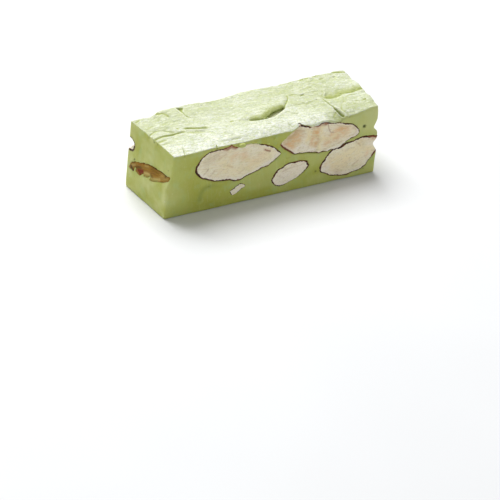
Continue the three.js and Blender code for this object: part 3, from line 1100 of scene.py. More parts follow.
@dataclass(frozen=True)
class Almond:
    """One almond: a teardrop form, where it lies, how it snapped and how it was cut.

    The slope lifts the +X tip, yaw turns it and roll tips its width out of the level, in degrees. Near the
    cut face the form gives way to the drawn outline, over the two blend depths.
    """

    name: str
    at: Point3
    length: float
    width: float
    thickness: float
    taper: float
    slope: float
    yaw: float = 0.0
    roll: float = 0.0
    fullness: float = 0.6
    outline: Outline | None = None
    side: Side = Side.LONG
    blend_depth: Point2 = (0.5, 2.4)
    breaks: tuple[Break, ...] = ()
    steps: tuple[Step, ...] = ()
    marks: tuple[Mark, ...] = ()
    proud: float = 0.03
    grain: float = 0.035
    seed: int = 1
    uneven: float = 0.16
    skin: float = 0.22
    edge_noise: float = 0.10
    open_pocket: bool = False

    def turn(self) -> Array:
        """Rotation from the almond's own axes to the bar's.

        Returns:
            A matrix of three by three.
        """
        angles = zip((self.yaw, -self.slope, self.roll), "ZYX")
        yaw, pitch, roll = (Matrix.Rotation(math.radians(angle), 3, axis) for angle, axis in angles)
        return np.array(yaw @ pitch @ roll)

    def own_axes(self, at: Places) -> Places:
        """Coordinates in the almond's own axes."""
        turn, offset = self.turn(), [c - p for c, p in zip(at, self.at)]
        return tuple(sum(turn[j, i] * offset[j] for j in range(3)) for i in range(3))

    def lattice(self, pitch: float, margin: float = 0.9) -> Lattice:
        """Lattice that holds the whole almond.

        Args:
            pitch: Spacing of its points.
            margin: Free room all round.

        Returns:
            The lattice.
        """
        half = np.array([self.length / 2, self.width / 2 * 1.08, self.thickness / 2 * 1.08])
        reach = np.abs(self.turn()) @ half
        low, high = np.array(self.at) - reach, np.array(self.at) + reach
        if self.outline is not None:
            drawn = np.array(self.outline.points)
            axes = [0, 2] if self.side is Side.LONG else [1, 2]
            low[axes] = np.minimum(low[axes], drawn.min(axis=0))
            high[axes] = np.maximum(high[axes], drawn.max(axis=0))
        return Lattice(tuple(low - margin), tuple(high + margin), pitch)

    def distance(self, bar: BarForm, at: Places, pitch: float, broken: bool = True) -> Array:
        """Signed distance to the almond's outside, negative inside.

        Args:
            bar: The bar's outer form.
            at: Lattice X, Y and Z.
            pitch: Spacing of the lattice.
            broken: Whether the breaks are taken off.

        Returns:
            Distance at each lattice point.
        """
        a, b, c = self.own_axes(at)
        t = a / (self.length / 2)
        ring = np.maximum(1.0 - t * t, 0.0) ** self.fullness * (1.0 - self.taper * t)
        beyond = np.maximum(np.abs(t) - 1.0, 0.0) * self.length / self.thickness
        raw = np.sqrt((b / (self.width / 2)) ** 2 + (c / (self.thickness / 2)) ** 2 + beyond**2) - ring
        steep = np.sqrt(sum(s * s for s in np.gradient(raw, pitch)))
        noise = Noise(self.seed)
        away = raw / np.maximum(steep, 0.02) + self.uneven * noise.rough(at, 2.6, 4)
        if self.outline is not None:
            away = self._drawn(bar, away, at)
        for snap in self.breaks if broken else ():
            away = np.maximum(away, snap.beyond(at, 0.18 * noise.rough(at, 1.6)))
        return away

    def _drawn(self, bar: BarForm, away: Array, at: Places) -> Array:
        """Leads the form over into the drawn outline near the cut face.

        Args:
            bar: The bar's outer form.
            away: Distance to the plain form.
            at: Lattice X, Y and Z.

        Returns:
            Distance to the form with its drawn outline.
        """
        x, y, z = at
        if self.side is Side.LONG:
            u, depth = x, y - bar.face_y(False, x, z)
        else:
            u, depth = y, x - bar.end_x(False, y, z)
        ragged = Noise(self.seed + 7).rough((u, z, 0.0), 1.1, 3, 0.55)
        flat = self.outline.distance(u, z) + self.edge_noise * ragged
        near = 1.0 - smoothstep(*self.blend_depth, depth)
        return near * flat + (1.0 - near) * away

    def cut_relief(self, at: Places) -> Array:
        """How far the cut face stands out of the bar's surface.

        Args:
            at: Lattice X, Y and Z.

        Returns:
            Height over the bar's surface.
        """
        noise = Noise(self.seed + 40)
        fibres = self.grain * noise.rough(self.own_axes(at), (2.6, 0.6, 0.6), 3, 0.6)
        relief = self.proud + fibres + 0.05 * noise.rough(at, 3.0, 2)
        return relief + sum(step.height(at[0], at[2]) for step in self.steps)

    def painted(self, points: Array, layer: Layer) -> Array:
        """Sum of one layer's marks at free points, one row each."""
        u = points[:, 0] if self.side is Side.LONG else points[:, 1]
        return sum((m.at(u, points[:, 2]) for m in self.marks if m.layer is layer), np.zeros(len(points)))

    def build(self, bar: BarForm, earlier: tuple["Almond", ...], limit: Limit) -> Piece:
        """Meshes the almond, cut flush with the bar.

        Args:
            bar: The bar's outer form.
            earlier: Almonds that this one gives way to.
            limit: Box that nothing may leave.

        Returns:
            The almond's object.
        """
        pitch = SMALL_ALMOND_PITCH if self.length < SMALL_ALMOND_LENGTH else ALMOND_PITCH
        lattice = self.lattice(pitch)
        at = lattice.axes()
        whole = self.distance(bar, at, pitch, broken=False)
        form = self.distance(bar, at, pitch) if self.breaks else whole
        outer = bar.distance(at)
        solid = np.maximum(np.maximum(form, outer - self.cut_relief(at)), limit.distance(at))
        for other in earlier:
            if other.lattice(pitch).meets(lattice):
                solid = np.maximum(solid, POCKET_OVERLAP - other.distance(bar, at, pitch))
        points, quads = lattice.surface(solid)
        attributes = {layer.value: self.painted(points, layer) for layer in (WARM, CREAM, PALE, GREY, RUST)}
        attributes["skin_depth"] = self._skin_depth(whole, outer, lattice, points)
        attributes["skin_width"] = self.skin + self.painted(points, THICK) - self.painted(points, BARE)
        return make_piece(self.name + "_piece", points, quads, attributes)

    def _skin_depth(self, whole: Array, outer: Array, lattice: Lattice, points: Array) -> Array:
        """Distance from the almond's outside, measured within the cut face.

        Args:
            whole: Distance to the almond's outside.
            outer: Distance to the bar's outside.
            lattice: Lattice of both.
            points: Where it is wanted.

        Returns:
            Distance for each point.
        """
        steep = lattice.slopes(whole, points)
        facing = unit(lattice.slopes(outer, points))
        within = steep - facing * np.sum(steep * facing, axis=1, keepdims=True)
        return -lattice.read(whole, points) / np.clip(np.linalg.norm(within, axis=1), 0.3, 1.2)


THICK, BARE, WARM, CREAM, PALE, GREY, RUST = Layer

ALMOND_FRONT_LONG = Almond(
    "almond_front_long", (-10.9, -6.3, 10.4), length=26.3, width=11.7, thickness=6.5,
    taper=0.16, slope=-1.0, yaw=-3.4, roll=-70.0, seed=3, skin=0.27,
    outline=Outline(path(
        -21.8, 11.9, -21.4, 13.4, -20.1, 14.9, -18.2, 15.9, -16.1, 15.9, -13.8, 16, -12.7, 16.5,
        -11.7, 15.7, -9.6, 15.1, -8.4, 15.5, -6.6, 15.3, -4.6, 14.8, -2.4, 14, -0.8, 13.2, 0.4, 12.1,
        1.4, 11, 0.5, 9.8, -1.1, 8.9, -1.8, 8.3, -3.5, 8, -5.4, 7.5, -7.4, 6.9, -9.3, 6.1, -10.9, 6.4,
        -12.4, 7, -14.6, 7.2, -16.4, 7.7, -18.8, 8.6, -20.4, 9.6, -21.5, 10.9,
    )),
    marks=(
        Mark(THICK, 0.8, 0.14, path(
            -21.6, 12.8, -21.8, 11.6, -20.4, 9.7, -16.2, 7.8, -12.4, 7, -9.2, 6.1,
        )),
        Mark(THICK, 0.4, 0.2, path(-21.5, 11.2, -20.7, 10.1)),
        Mark(THICK, 0.6, 0.1, path(-9.2, 6.1, -5.4, 7.5, -1.8, 8.3)),
        Mark(BARE, 0.7, 0.42, path(-10.2, 15.2, -8.4, 15.4, -5.6, 15)),
        Mark(RUST, 0.5, 1.5, path(-13.7, 15.6, -12.7, 16.1, -11.5, 15.5)),
        Mark(RUST, 0.35, 0.9, path(-14.5, 15.7)),
        Mark(RUST, 0.2, 1.3, path(-3.3, 13, -2.6, 12.6, -1.8, 12.3)),
        Mark(WARM, 1.1, 0.6, path(-9.2, 13.3, -8.7, 12.1)),
        Mark(WARM, 1.0, 0.5, path(-11.4, 13.5, -12.2, 12.4)),
        Mark(WARM, 1.6, 0.35, path(-6.4, 10.4, -4, 11.4)),
        Mark(CREAM, 1.8, 0.6, path(-14.4, 12.8, -12.8, 10.1, -10.5, 9.1)),
        Mark(CREAM, 2.0, 0.5, path(-7, 9.4, -4, 10.4, -2.2, 11.2)),
        Mark(GREY, 0.22, 0.8, path(-13.3, 11.1, -11.6, 10.3)),
        Mark(GREY, 0.2, 0.7, path(-19.6, 9.9, -18.4, 11.3)),
        Mark(GREY, 0.2, 0.7, path(-17.8, 9.2, -16.6, 10.6)),
        Mark(GREY, 0.22, 0.6, path(-15.8, 13.4, -13.9, 14.3)),
        Mark(GREY, 0.18, 0.6, path(-9.8, 8.2, -8.4, 9.2)),
        Mark(GREY, 1.6, 0.35, path(-18.8, 13.6, -15.6, 14.8)),
        Mark(PALE, 0.42, 0.9, path(
            -21, 10.9, -20.1, 10.2, -18.4, 9.2, -15.8, 8.3, -12.4, 7.7, -9.4, 6.9, -6.6, 7.7, -3.6, 8.6,
            -1, 9.8, 0.4, 11,
        )),
    ),
)

ALMOND_FRONT_TOP = Almond(
    "almond_front_top", (11.8, -6.1, 11.9), length=24.7, width=11.4, thickness=7.4,
    taper=0.05, slope=-4.5, yaw=-2.4, roll=-45.0, blend_depth=(0.8, 2.6), grain=0.05, seed=5, skin=0.25,
    outline=Outline(path(
        0.7, 13.4, 2.2, 14.6, 4.1, 15.8, 5.4, 16.7, 6, 17.4, 7.2, 16.9, 8.5, 16.5, 9.4, 16.1, 11.2, 16.2,
        12, 16.5, 13.5, 16.5, 15, 15.9, 16.8, 15.6, 19.4, 14.9, 21.6, 14, 23.1, 12.6, 23.3, 11.6,
        22.2, 10.8, 20.2, 10.2, 18.5, 9.3, 16.5, 8.8, 12.6, 8.7, 10.2, 8.9, 8.4, 9.4, 6, 9.6, 4.9, 9.8,
        3.1, 11.2, 1.3, 12.6,
    )),
    steps=(
        Step(path(
            11.3, 8.2, 11.5, 9, 11.4, 11, 12, 12.6, 11.1, 14.4, 10.4, 16, 10, 17.6,
        ), -0.32, 0.55, 14.0),
        Step(path(10.8, 8, 11, 9.6, 11, 11.2, 11.5, 12.8, 10.6, 14.6, 9.9, 17), -0.12, 0.2, 1.6),
        Step(path(14.4, 12.2, 15.2, 13.4, 14, 14.9, 14.5, 16.4), 0.12, 0.18, 2.2),
        Step(path(16.5, 10.4, 18, 12.2, 19.4, 14.4), -0.06, 0.3, 3.0),
    ),
    marks=(
        Mark(THICK, 0.5, 0.34, path(0.9, 13.1, 1.9, 12.3, 3.2, 11.2, 4.6, 10.1)),
        Mark(RUST, 0.5, 0.55, path(0.9, 13.1, 1.9, 12.3, 3.2, 11.2, 4.6, 10.1)),
        Mark(THICK, 0.42, 0.45, path(6.3, 17.2, 7.1, 16.8, 8.2, 16.3, 9, 16.2)),
        Mark(BARE, 0.5, 0.6, path(1.9, 14.3, 3.4, 15.3, 4.9, 16.3)),
        Mark(RUST, 0.3, 0.7, path(9, 16.1, 10.5, 15.9, 11.7, 16.1, 13.2, 16.1)),
        Mark(RUST, 0.35, 1.2, path(13.1, 16.2)),
        Mark(RUST, 0.13, 0.8, path(13.6, 16.2, 13.9, 15.4, 14.2, 14.5, 14.7, 13.7, 15.6, 13.4)),
        Mark(GREY, 1.4, 0.9, path(2.4, 13.1, 4.1, 14.6, 5.2, 16)),
        Mark(WARM, 1.8, 0.95, path(3.4, 12, 5.6, 13.9)),
        Mark(GREY, 0.8, 0.35, path(7, 15.1, 6, 13.6, 5.2, 12.1)),
        Mark(CREAM, 0.6, 0.95, path(8.5, 15.5, 8.9, 14.4, 8.6, 13, 8.3, 12)),
        # painted shade: warm strokes along the step and on its low side; painted highlight: the cream stroke
        # on its raised side
        Mark(WARM, 0.55, 0.9, path(
            11.3, 15.7, 11.3, 14.7, 11.2, 13.9, 11.5, 12.8, 11.5, 12, 11.1, 11.2, 10.9, 10.6,
        )),
        Mark(WARM, 0.8, 0.8, path(10.4, 14.6, 10.1, 12.9, 9.9, 11.4)),
        Mark(CREAM, 0.5, 0.8, path(12.2, 15.8, 12.1, 14.2, 12.5, 12.6, 12, 11, 11.9, 9.6)),
        Mark(PALE, 0.8, 1.1, path(5.6, 10.5, 6.3, 11.3, 7.3, 11.6, 8.9, 10.3, 10.5, 9.7)),
        Mark(WARM, 0.5, 0.6, path(14.9, 12.7, 15.4, 13.2, 16.2, 13.7, 18.1, 13.9, 19.6, 13.8)),
        Mark(WARM, 1.6, 0.6, path(17.6, 13.4, 19.4, 12.8)),
        Mark(WARM, 0.7, 0.4, path(13.5, 10.6, 15, 11.2, 16.8, 11.5)),
        Mark(WARM, 1.6, 0.4, path(14, 11.6, 16.8, 12.4)),
        Mark(CREAM, 0.5, 0.7, path(12.8, 12.6, 14.2, 12, 16.6, 12.6)),
        Mark(GREY, 0.16, 0.6, path(16.2, 15.2, 18, 14.4, 20.6, 13.9)),
        Mark(GREY, 0.18, 0.5, path(13.2, 9.4, 15.6, 9.9, 18.2, 10.4)),
        Mark(GREY, 0.5, 0.7, path(21.6, 11.2, 22.4, 12, 22.5, 12.8, 21.4, 13.7)),
        Mark(PALE, 0.25, 0.9, path(22.5, 13, 22.6, 12, 21.4, 11.1, 19.6, 10.4, 17.6, 9.5, 14.6, 9.2)),
        Mark(PALE, 0.25, 0.7, path(1.8, 13, 3.6, 11.6, 5, 10.4)),
    ),
)

ALMOND_FRONT_CORNER = Almond(
    "almond_front_corner", (19.8, -5.3, 6.0), length=21.5, width=11.0, thickness=8.1,
    taper=-0.09, slope=10.7, yaw=4.3, roll=78.0, proud=0.07, seed=7, skin=0.24,
    outline=Outline(path(
        12.9, 4.3, 13, 5.4, 13.8, 6.4, 14.4, 7.5, 15.8, 8.6, 18.1, 9, 19.7, 9.8, 21.6, 9.8, 23.2, 10.1,
        24.6, 10.3, 26.4, 10.2, 28, 9.9, 29.6, 9.6, 31, 8.6, 31, 7.4, 29.4, 6, 28.2, 4.8, 27, 3.8,
        25.7, 2.2, 24.4, 1.7, 22.6, 1.4, 20.8, 0.95, 18.5, 1.2, 16.4, 1.7, 14.5, 2.6, 13.3, 3.3,
    )),
    marks=(
        Mark(THICK, 0.8, 0.12, path(13.4, 6.2, 12.9, 4.6, 14.4, 2.8, 18.4, 1.3, 22.6, 1.5, 25.6, 2.3)),
        Mark(THICK, 0.5, 0.5, path(28.6, 5.9, 28, 4.8)),
        Mark(THICK, 0.5, 0.3, path(26.2, 10, 27.2, 9.8, 28.6, 9.5)),
        Mark(THICK, 0.4, 0.25, path(17.7, 8.9, 18.6, 9.2, 19.3, 9.6, 19.8, 9.9)),
        Mark(RUST, 0.5, 0.7, path(26.6, 9.9, 27.4, 9.7, 28.6, 9.4)),
        Mark(RUST, 0.5, 0.4, path(28.4, 5.6, 27.8, 4.7)),
        Mark(RUST, 0.5, 0.25, path(17.4, 2.6, 18.4, 2.2)),
        Mark(WARM, 0.55, 0.75, path(26.3, 6.9, 26.2, 6, 26, 5.2)),
        Mark(WARM, 0.5, 0.45, path(27.2, 9.2, 28.4, 8.9)),
        Mark(PALE, 0.9, 0.8, path(27.4, 7.9, 26, 8.3)),
        Mark(WARM, 1.6, 0.3, path(16.8, 3.8, 19.4, 4.6)),
        Mark(CREAM, 0.9, 1.2, path(26.6, 7.2, 28.2, 6.6)),
        Mark(CREAM, 2.6, 0.8, path(17.6, 5.4, 21, 6.4, 24, 7.2)),
        Mark(GREY, 0.2, 0.9, path(22.6, 9.3, 23.4, 8.7, 24, 8)),
        Mark(GREY, 0.2, 0.6, path(19.6, 7.6, 21.2, 8.2)),
        Mark(GREY, 0.2, 0.5, path(22, 3.4, 23.8, 4.4)),
        Mark(GREY, 1.4, 0.4, path(24.6, 8.9, 26, 8.4)),
        Mark(PALE, 0.7, 0.9, path(14, 4.2, 14.9, 4.4)),
        Mark(PALE, 0.35, 0.8, path(13.8, 5.6, 13.7, 4.2, 15, 3.2, 18.6, 2, 22.6, 2.1, 25.2, 2.8)),
    ),
)

ALMOND_FRONT_SMALL = Almond(
    "almond_front_small", (4.5, -6.3, 5.7), length=12.6, width=7.2, thickness=5.3,
    taper=0.21, slope=15.6, yaw=-5.0, roll=41.0, seed=9, skin=0.3,
    outline=Outline(path(
        -0.4, 3.9, 0.1, 5.1, 1.2, 6.5, 2.9, 7.4, 4.3, 7.8, 6.1, 7.8, 8.4, 7.5, 9.1, 7.2, 9.3, 6.6,
        9.7, 5.9, 8.9, 4.8, 7.7, 3.7, 6.3, 3.1, 4.4, 2.5, 3.3, 2, 1.6, 2.1, 0.4, 2.8,
    )),
    marks=(
        Mark(THICK, 0.7, 0.2, path(9.1, 7, 9.4, 6)),
        Mark(BARE, 0.5, 0.12, path(4, 2.3, 6.6, 3.2)),
        Mark(PALE, 1.8, 0.9, path(1.6, 4.2, 4.4, 4.8, 7, 5.8)),
        Mark(PALE, 0.3, 0.8, path(0.4, 3.8, 1.6, 2.7, 3.6, 2.7, 6.2, 3.7, 8.6, 5.3)),
        Mark(GREY, 0.2, 0.8, path(2.4, 5.8, 4.4, 6.3, 7.4, 6.6)),
        Mark(GREY, 0.2, 0.6, path(1.2, 4.9, 3, 4)),
        Mark(WARM, 0.8, 0.3, path(6.6, 5.6)),
    ),
)

ALMOND_FRONT_CHIP = Almond(
    "almond_front_chip", (-9.75, -7.7, 4.15), length=4.4, width=2.4, thickness=2.1,
    taper=0.1, slope=17.0, blend_depth=(0.3, 1.0), seed=12, uneven=0.12, skin=0.09,
    outline=Outline(path(
        -11.6, 3.7, -11.2, 4.2, -10.1, 4.8, -9.1, 5.2, -8.2, 5, -7.6, 4.5, -8, 4, -8.7, 3.9, -9.1, 3.5,
        -9.8, 3, -10.8, 2.7, -11.3, 3.1,
    )),
    marks=(
        Mark(PALE, 2.0, 0.6, path(-9.7, 4.1)),
        Mark(THICK, 0.4, 0.12, path(-8.4, 3.8, -9.2, 3.3)),
    ),
)

ALMOND_BACK_NOTCH = Almond(
    "almond_back_notch", (-22.6, 8.5, 11.1), length=18.0, width=7.4, thickness=5.0,
    taper=-0.05, slope=-6.0, seed=14, skin=0.17, open_pocket=True,
    breaks=(Break((-29.06, 7.65, 11.02), (0.4, -0.62, -0.68)),),
    marks=(
        Mark(WARM, 2.6, 0.5, path(-20, 11)),
        Mark(PALE, 1.6, 0.7, path(-29, 9.4, -27, 9.6)),
        Mark(GREY, 0.3, 0.6, path(-24, 11.6, -18, 11.2)),
    ),
)

ALMOND_BACK_LONG = Almond(
    "almond_back_long", (9.2, 7.6, 8.4), length=23.4, width=11.4, thickness=7.8,
    taper=0.12, slope=13.0, yaw=2.0, roll=66.0, seed=16, skin=0.28,
    marks=(
        Mark(WARM, 2.0, 0.6, path(4.6, 7, 7.6, 8.4)),
        Mark(WARM, 1.6, 0.5, path(14, 9.5)),
        Mark(PALE, 1.8, 0.6, path(1.5, 6, 5, 5.2)),
        Mark(CREAM, 1.6, 0.7, path(9, 9.6, 13, 11)),
        Mark(GREY, 0.22, 0.7, path(3, 8.6, 8, 10.2)),
        Mark(GREY, 0.22, 0.6, path(8, 6, 14.6, 8)),
    ),
)

ALMOND_BACK_MEDIUM = Almond(
    "almond_back_medium", (-8.9, 8.0, 4.9), length=14.6, width=7.6, thickness=6.0,
    taper=0.1, slope=-9.0, yaw=-3.0, roll=58.0, seed=18, skin=0.28,
    marks=(
        Mark(PALE, 1.6, 0.6, path(-11, 5.6, -8.4, 4.6)),
        Mark(CREAM, 1.4, 0.6, path(-6.4, 4.6)),
        Mark(GREY, 0.22, 0.7, path(-12.6, 4.6, -7, 4)),
    ),
)

ALMOND_BACK_SMALL = Almond(
    "almond_back_small", (20.9, 7.9, 13.2), length=9.6, width=5.6, thickness=4.8,
    taper=0.15, slope=-22.0, yaw=5.0, roll=30.0, seed=20, skin=0.26,
    marks=(
        Mark(WARM, 1.8, 0.6, path(21, 13)),
        Mark(GREY, 0.2, 0.6, path(19, 14.2, 22.4, 12.6)),
    ),
)

ALMOND_BACK_CHIP = Almond(
    "almond_back_chip", (22.4, 8.2, 4.4), length=4.2, width=2.8, thickness=2.3,
    taper=0.1, slope=-24.0, seed=22, uneven=0.12, skin=0.12,
)

ALMOND_RIGHT_END = Almond(
    "almond_right_end", (26.6, 3.3, 12.4), length=10.5, width=7.2, thickness=5.2,
    taper=0.12, slope=-20.0, yaw=84.0, roll=20.0, seed=24, skin=0.28, side=Side.END,
    marks=(
        Mark(WARM, 1.6, 0.6, path(4.4, 11.8)),
        Mark(CREAM, 1.4, 0.6, path(1.4, 13.2)),
        Mark(GREY, 0.2, 0.7, path(0.4, 13, 4.6, 11)),
    ),
)

ALMOND_LEFT_END = Almond(
    "almond_left_end", (-25.6, 0.2, 8.3), length=15.6, width=7.0, thickness=6.0,
    taper=0.05, slope=-17.5, yaw=93.4, roll=90.0, fullness=0.4, blend_depth=(0.4, 1.6), proud=0.0,
    grain=0.09, seed=26, uneven=0.1, edge_noise=0.12, side=Side.END,
    outline=Outline(path(
        7, 7.1, 6.2, 7.8, 3.8, 8.9, 2.4, 9.6, 1.2, 10.1, 0.1, 10.4, -0.9, 10.5, -2.1, 10.7, -3.5, 10.8,
        -4.8, 10.85, -6, 10.95, -7, 11, -7.5, 11, -7.6, 10.6, -7.2, 9.8, -6.1, 9.1, -5, 8.7, -4, 8.1,
        -2.9, 7.4, -1.8, 7, -0.9, 7.1, -1.2, 7.7, -0.9, 7.8, 0.4, 7, 1.4, 6.8, 1.7, 7.2, 2.1, 6.9, 2.9, 6,
        4.1, 5.9, 5, 6.1, 4.8, 6.8, 5.2, 7.1, 5.4, 6.6, 5.6, 5.9, 5.9, 5.5, 6.7, 5.6, 7.6, 5.7, 7.4, 6.4,
    )),
    marks=(
        Mark(GREY, 0.2, 0.75, path(6.8, 7.4, 5.3, 8.2)),
        Mark(GREY, 0.2, 0.7, path(2.4, 9.6, 0.2, 10.3, -1.4, 10.4, -2.3, 10.6)),
        Mark(GREY, 0.18, 0.95, path(-2.3, 10.6, -3.9, 10.8, -5.7, 10.9, -7, 11)),
        Mark(GREY, 0.2, 0.4, path(-0.9, 9.8, -2.1, 9.9, -3.6, 9.9)),
        Mark(GREY, 0.35, 0.8, path(-6.2, 10.6)),
        Mark(GREY, 0.36, 0.7, path(4.8, 7.1, 3.8, 7.7, 2.9, 8)),
        Mark(GREY, 0.5, 1.1, path(6.6, 6.3, 6.1, 5.9)),
        Mark(GREY, 0.3, 0.6, path(-1, 8.4, -1.8, 8.1)),
        # painted shade: the red-brown patch is a deeper part of the skin in shade
        Mark(RUST, 0.42, 1.5, path(3.6, 6.95, 2.7, 7.25, 2, 7.55)),
        Mark(RUST, 0.34, 1.5, path(2.9, 6.5)),
        Mark(RUST, 0.4, 0.3, path(3.9, 8.5, 2.5, 9.2)),
        Mark(PALE, 0.35, 0.9, path(0.9, 7.1, -0.9, 7.8)),
        Mark(PALE, 0.3, 0.9, path(-1.2, 7.3, -2.5, 7.6, -3.9, 8.3)),
        Mark(WARM, 0.36, 1.2, path(1.4, 7.5, 0.2, 7.9, -0.8, 8.2)),
        Mark(WARM, 0.36, 1.1, path(-1.7, 7.7, -2.8, 8.1, -4.4, 8.9)),
        Mark(WARM, 0.26, 0.45, path(1.4, 9.3, 0.3, 9.7)),
        Mark(WARM, 0.9, 0.4, path(-5.1, 10, -6.8, 10.2)),
        Mark(WARM, 0.3, 0.6, path(6.4, 6.9, 5.2, 7.6)),
    ),
)

KERNELS: tuple[Almond, ...] = (
    ALMOND_FRONT_LONG, ALMOND_FRONT_TOP, ALMOND_FRONT_CORNER, ALMOND_FRONT_SMALL, ALMOND_FRONT_CHIP,
    ALMOND_BACK_NOTCH, ALMOND_BACK_LONG, ALMOND_BACK_MEDIUM, ALMOND_BACK_SMALL, ALMOND_BACK_CHIP,
    ALMOND_RIGHT_END,
)


# ---- Finishes ----


class Graph:
    """Short-hand for building one material's node tree."""

    def __init__(self, name: str) -> None:
        """Starts an empty material with a shader and an output.

        Args:
            name: Material name.
        """
        self.material = bpy.data.materials.new(name)
        self.material.use_nodes = True
        self.nodes = self.material.node_tree.nodes
        self.links = self.material.node_tree.links
        self.nodes.clear()
        self.shader = self.nodes.new("ShaderNodeBsdfPrincipled")
        output = self.nodes.new("ShaderNodeOutputMaterial")
        self.links.new(self.shader.outputs["BSDF"], output.inputs["Surface"])
        self.place = self.node("TexCoord", {}, "Object")

    def feed(self, socket: Socket, value: object) -> None:
        """Links a socket into an input, or sets it from a number, colour or vector.

        Args:
            socket: The input.
            value: What goes into it.
        """
        if isinstance(value, bpy.types.NodeSocket):
            self.links.new(value, socket)
        else:
            socket.default_value = value

    def node(self, kind: str, inputs: Inputs, output: str | int = 0, **settings: object) -> Socket:
        """Adds a shader node.

        Args:
            kind: Blender's name of the node.
            inputs: What goes into its inputs, by their names or numbers.
            output: Which of its outputs is wanted.
            settings: The node's own settings.

        Returns:
            The output.
        """
        made = self.nodes.new("ShaderNode" + kind)
        for name, value in settings.items():
            setattr(made, name, value)
        for name, value in inputs.items():
            self.feed(made.inputs[name], value)
        return made.outputs[output]

    def set(self, name: str, value: object) -> None:
        """Feeds one of the shader's own inputs."""
        self.feed(self.shader.inputs[name], value)

    def gloss(self, specular: float, index: float = 1.5) -> None:
        """Sets how strongly the surface shines and its index of refraction."""
        self.set("Specular IOR Level", specular)
        self.set("IOR", index)

    def soften(self, weight: float, radius: Point3, depth: float) -> None:
        """Lets light soak in, by a weight, a radius for each colour and a depth in millimetres."""
        for name, value in (("Weight", weight), ("Radius", radius), ("Scale", depth * MM)):
            self.set("Subsurface " + name, value)

    def math(self, operation: str, a: object, b: object = 0.0, clamp: bool = False) -> Socket:
        """Result of Blender's named operation on two values, kept between 0 and 1 where it is clamped."""
        return self.node("Math", {0: a, 1: b}, operation=operation, use_clamp=clamp)

    def times(self, a: object, b: object, clamp: bool = False) -> Socket:
        """Product of two values."""
        return self.math("MULTIPLY", a, b, clamp)

    def ramp(self, value: object, low: float, high: float, start: float = 0.0, end: float = 1.0) -> Socket:
        """Maps the range from low to high onto the range from start to end, smoothly."""
        ends = {"From Min": low, "From Max": high, "To Min": start, "To Max": end}
        return self.node("MapRange", {"Value": value, **ends}, interpolation_type="SMOOTHSTEP")

    def mix(self, amount: object, under: object, over: object) -> Socket:
        """Lays an amount of one colour over another."""
        return self.node("Mix", {"Factor": amount, 6: under, 7: over}, 2, data_type="RGBA")

    def coats(self, colour: object, *coats: tuple[object, object]) -> Socket:
        """Lays coats of paint over a colour, in order.

        Args:
            colour: The colour underneath.
            coats: How much each coat covers, and its colour.

        Returns:
            The colour on top.
        """
        for amount, paint in coats:
            colour = self.mix(amount, colour, paint)
        return colour

    def attribute(self, name: str) -> Socket:
        """Reads a vertex attribute."""
        return self.node("Attribute", {}, "Fac", attribute_name=name)

    def stretched(self, size: float | Point3, turn: Point3 = (0.0, 0.0, 0.0)) -> Socket:
        """Object coordinates in cells of their own.

        Args:
            size: Cell size in millimetres, the same or its own along each axis.
            turn: Rotation of the cells in degrees.

        Returns:
            The coordinates.
        """
        turned = self.node("Mapping", {"Vector": self.place, "Rotation": [math.radians(a) for a in turn]})
        scale = [1.0 / (side * MM) for side in np.broadcast_to(size, 3)]
        return self.node("Mapping", {"Vector": turned, "Scale": scale})

    def noise(
        self,
        size: float | Point3,
        detail: float = 3.0,
        roughness: float = 0.5,
        distortion: float = 0.0,
        turn: Point3 = (0.0, 0.0, 0.0),
    ) -> Socket:
        """Noise with features of a real size.

        Args:
            size: Feature size in millimetres, the same or its own along each axis.
            detail: Octaves.
            roughness: Strength of the finer octaves.
            distortion: How much the noise is bent.
            turn: Rotation of the noise in degrees.

        Returns:
            Its value, from 0 to 1.
        """
        inputs = {"Vector": self.stretched(size, turn), "Scale": 1.0}
        inputs |= {"Detail": detail, "Roughness": roughness, "Distortion": distortion}
        return self.node("TexNoise", inputs, "Fac")

    def lines(self, size: Point3, thin: float, turn: Point3) -> Socket:
        """Thin meandering lines, 0 on a line and 1 away from it.

        Args:
            size: Spacing of the lines along each axis in millimetres.
            thin: Width of a line as a share of the noise's range.
            turn: Rotation of the lines in degrees.

        Returns:
            The value.
        """
        away = self.math("ABSOLUTE", self.math("SUBTRACT", self.noise(size, 3.0, 0.5, 0.4, turn), 0.5))
        return self.ramp(away, 0.0, thin)

    def scattered(self, size: float) -> Socket:
        """Distance to points scattered about one to each cell of the given size."""
        return self.node("TexVoronoi", {"Vector": self.stretched(size), "Scale": 1.0}, "Distance")

    def bumps(self, *layers: tuple[object, float]) -> None:
        """Gives the shader bumps that lie on each other.

        Args:
            layers: Height from 0 to 1 and what 1 stands for in millimetres, the lowest bump first.
        """
        normal = {}
        for height, depth in layers:
            inputs = {"Strength": 1.0, "Distance": depth * MM, "Height": height, **normal}
            normal = {"Normal": self.node("Bump", inputs, "Normal")}
        self.set("Normal", normal["Normal"])


def tone(*channels: int) -> Tone:
    """Linear colour of the given sRGB colour.

    Args:
        channels: Red, green and blue from 0 to 255.

    Returns:
        The colour, with an alpha of 1.
    """
    shares = (value / 255.0 for value in channels)
    linear = (s / 12.92 if s <= 0.04045 else ((s + 0.055) / 1.055) ** 2.4 for s in shares)
    return (*linear, 1.0)


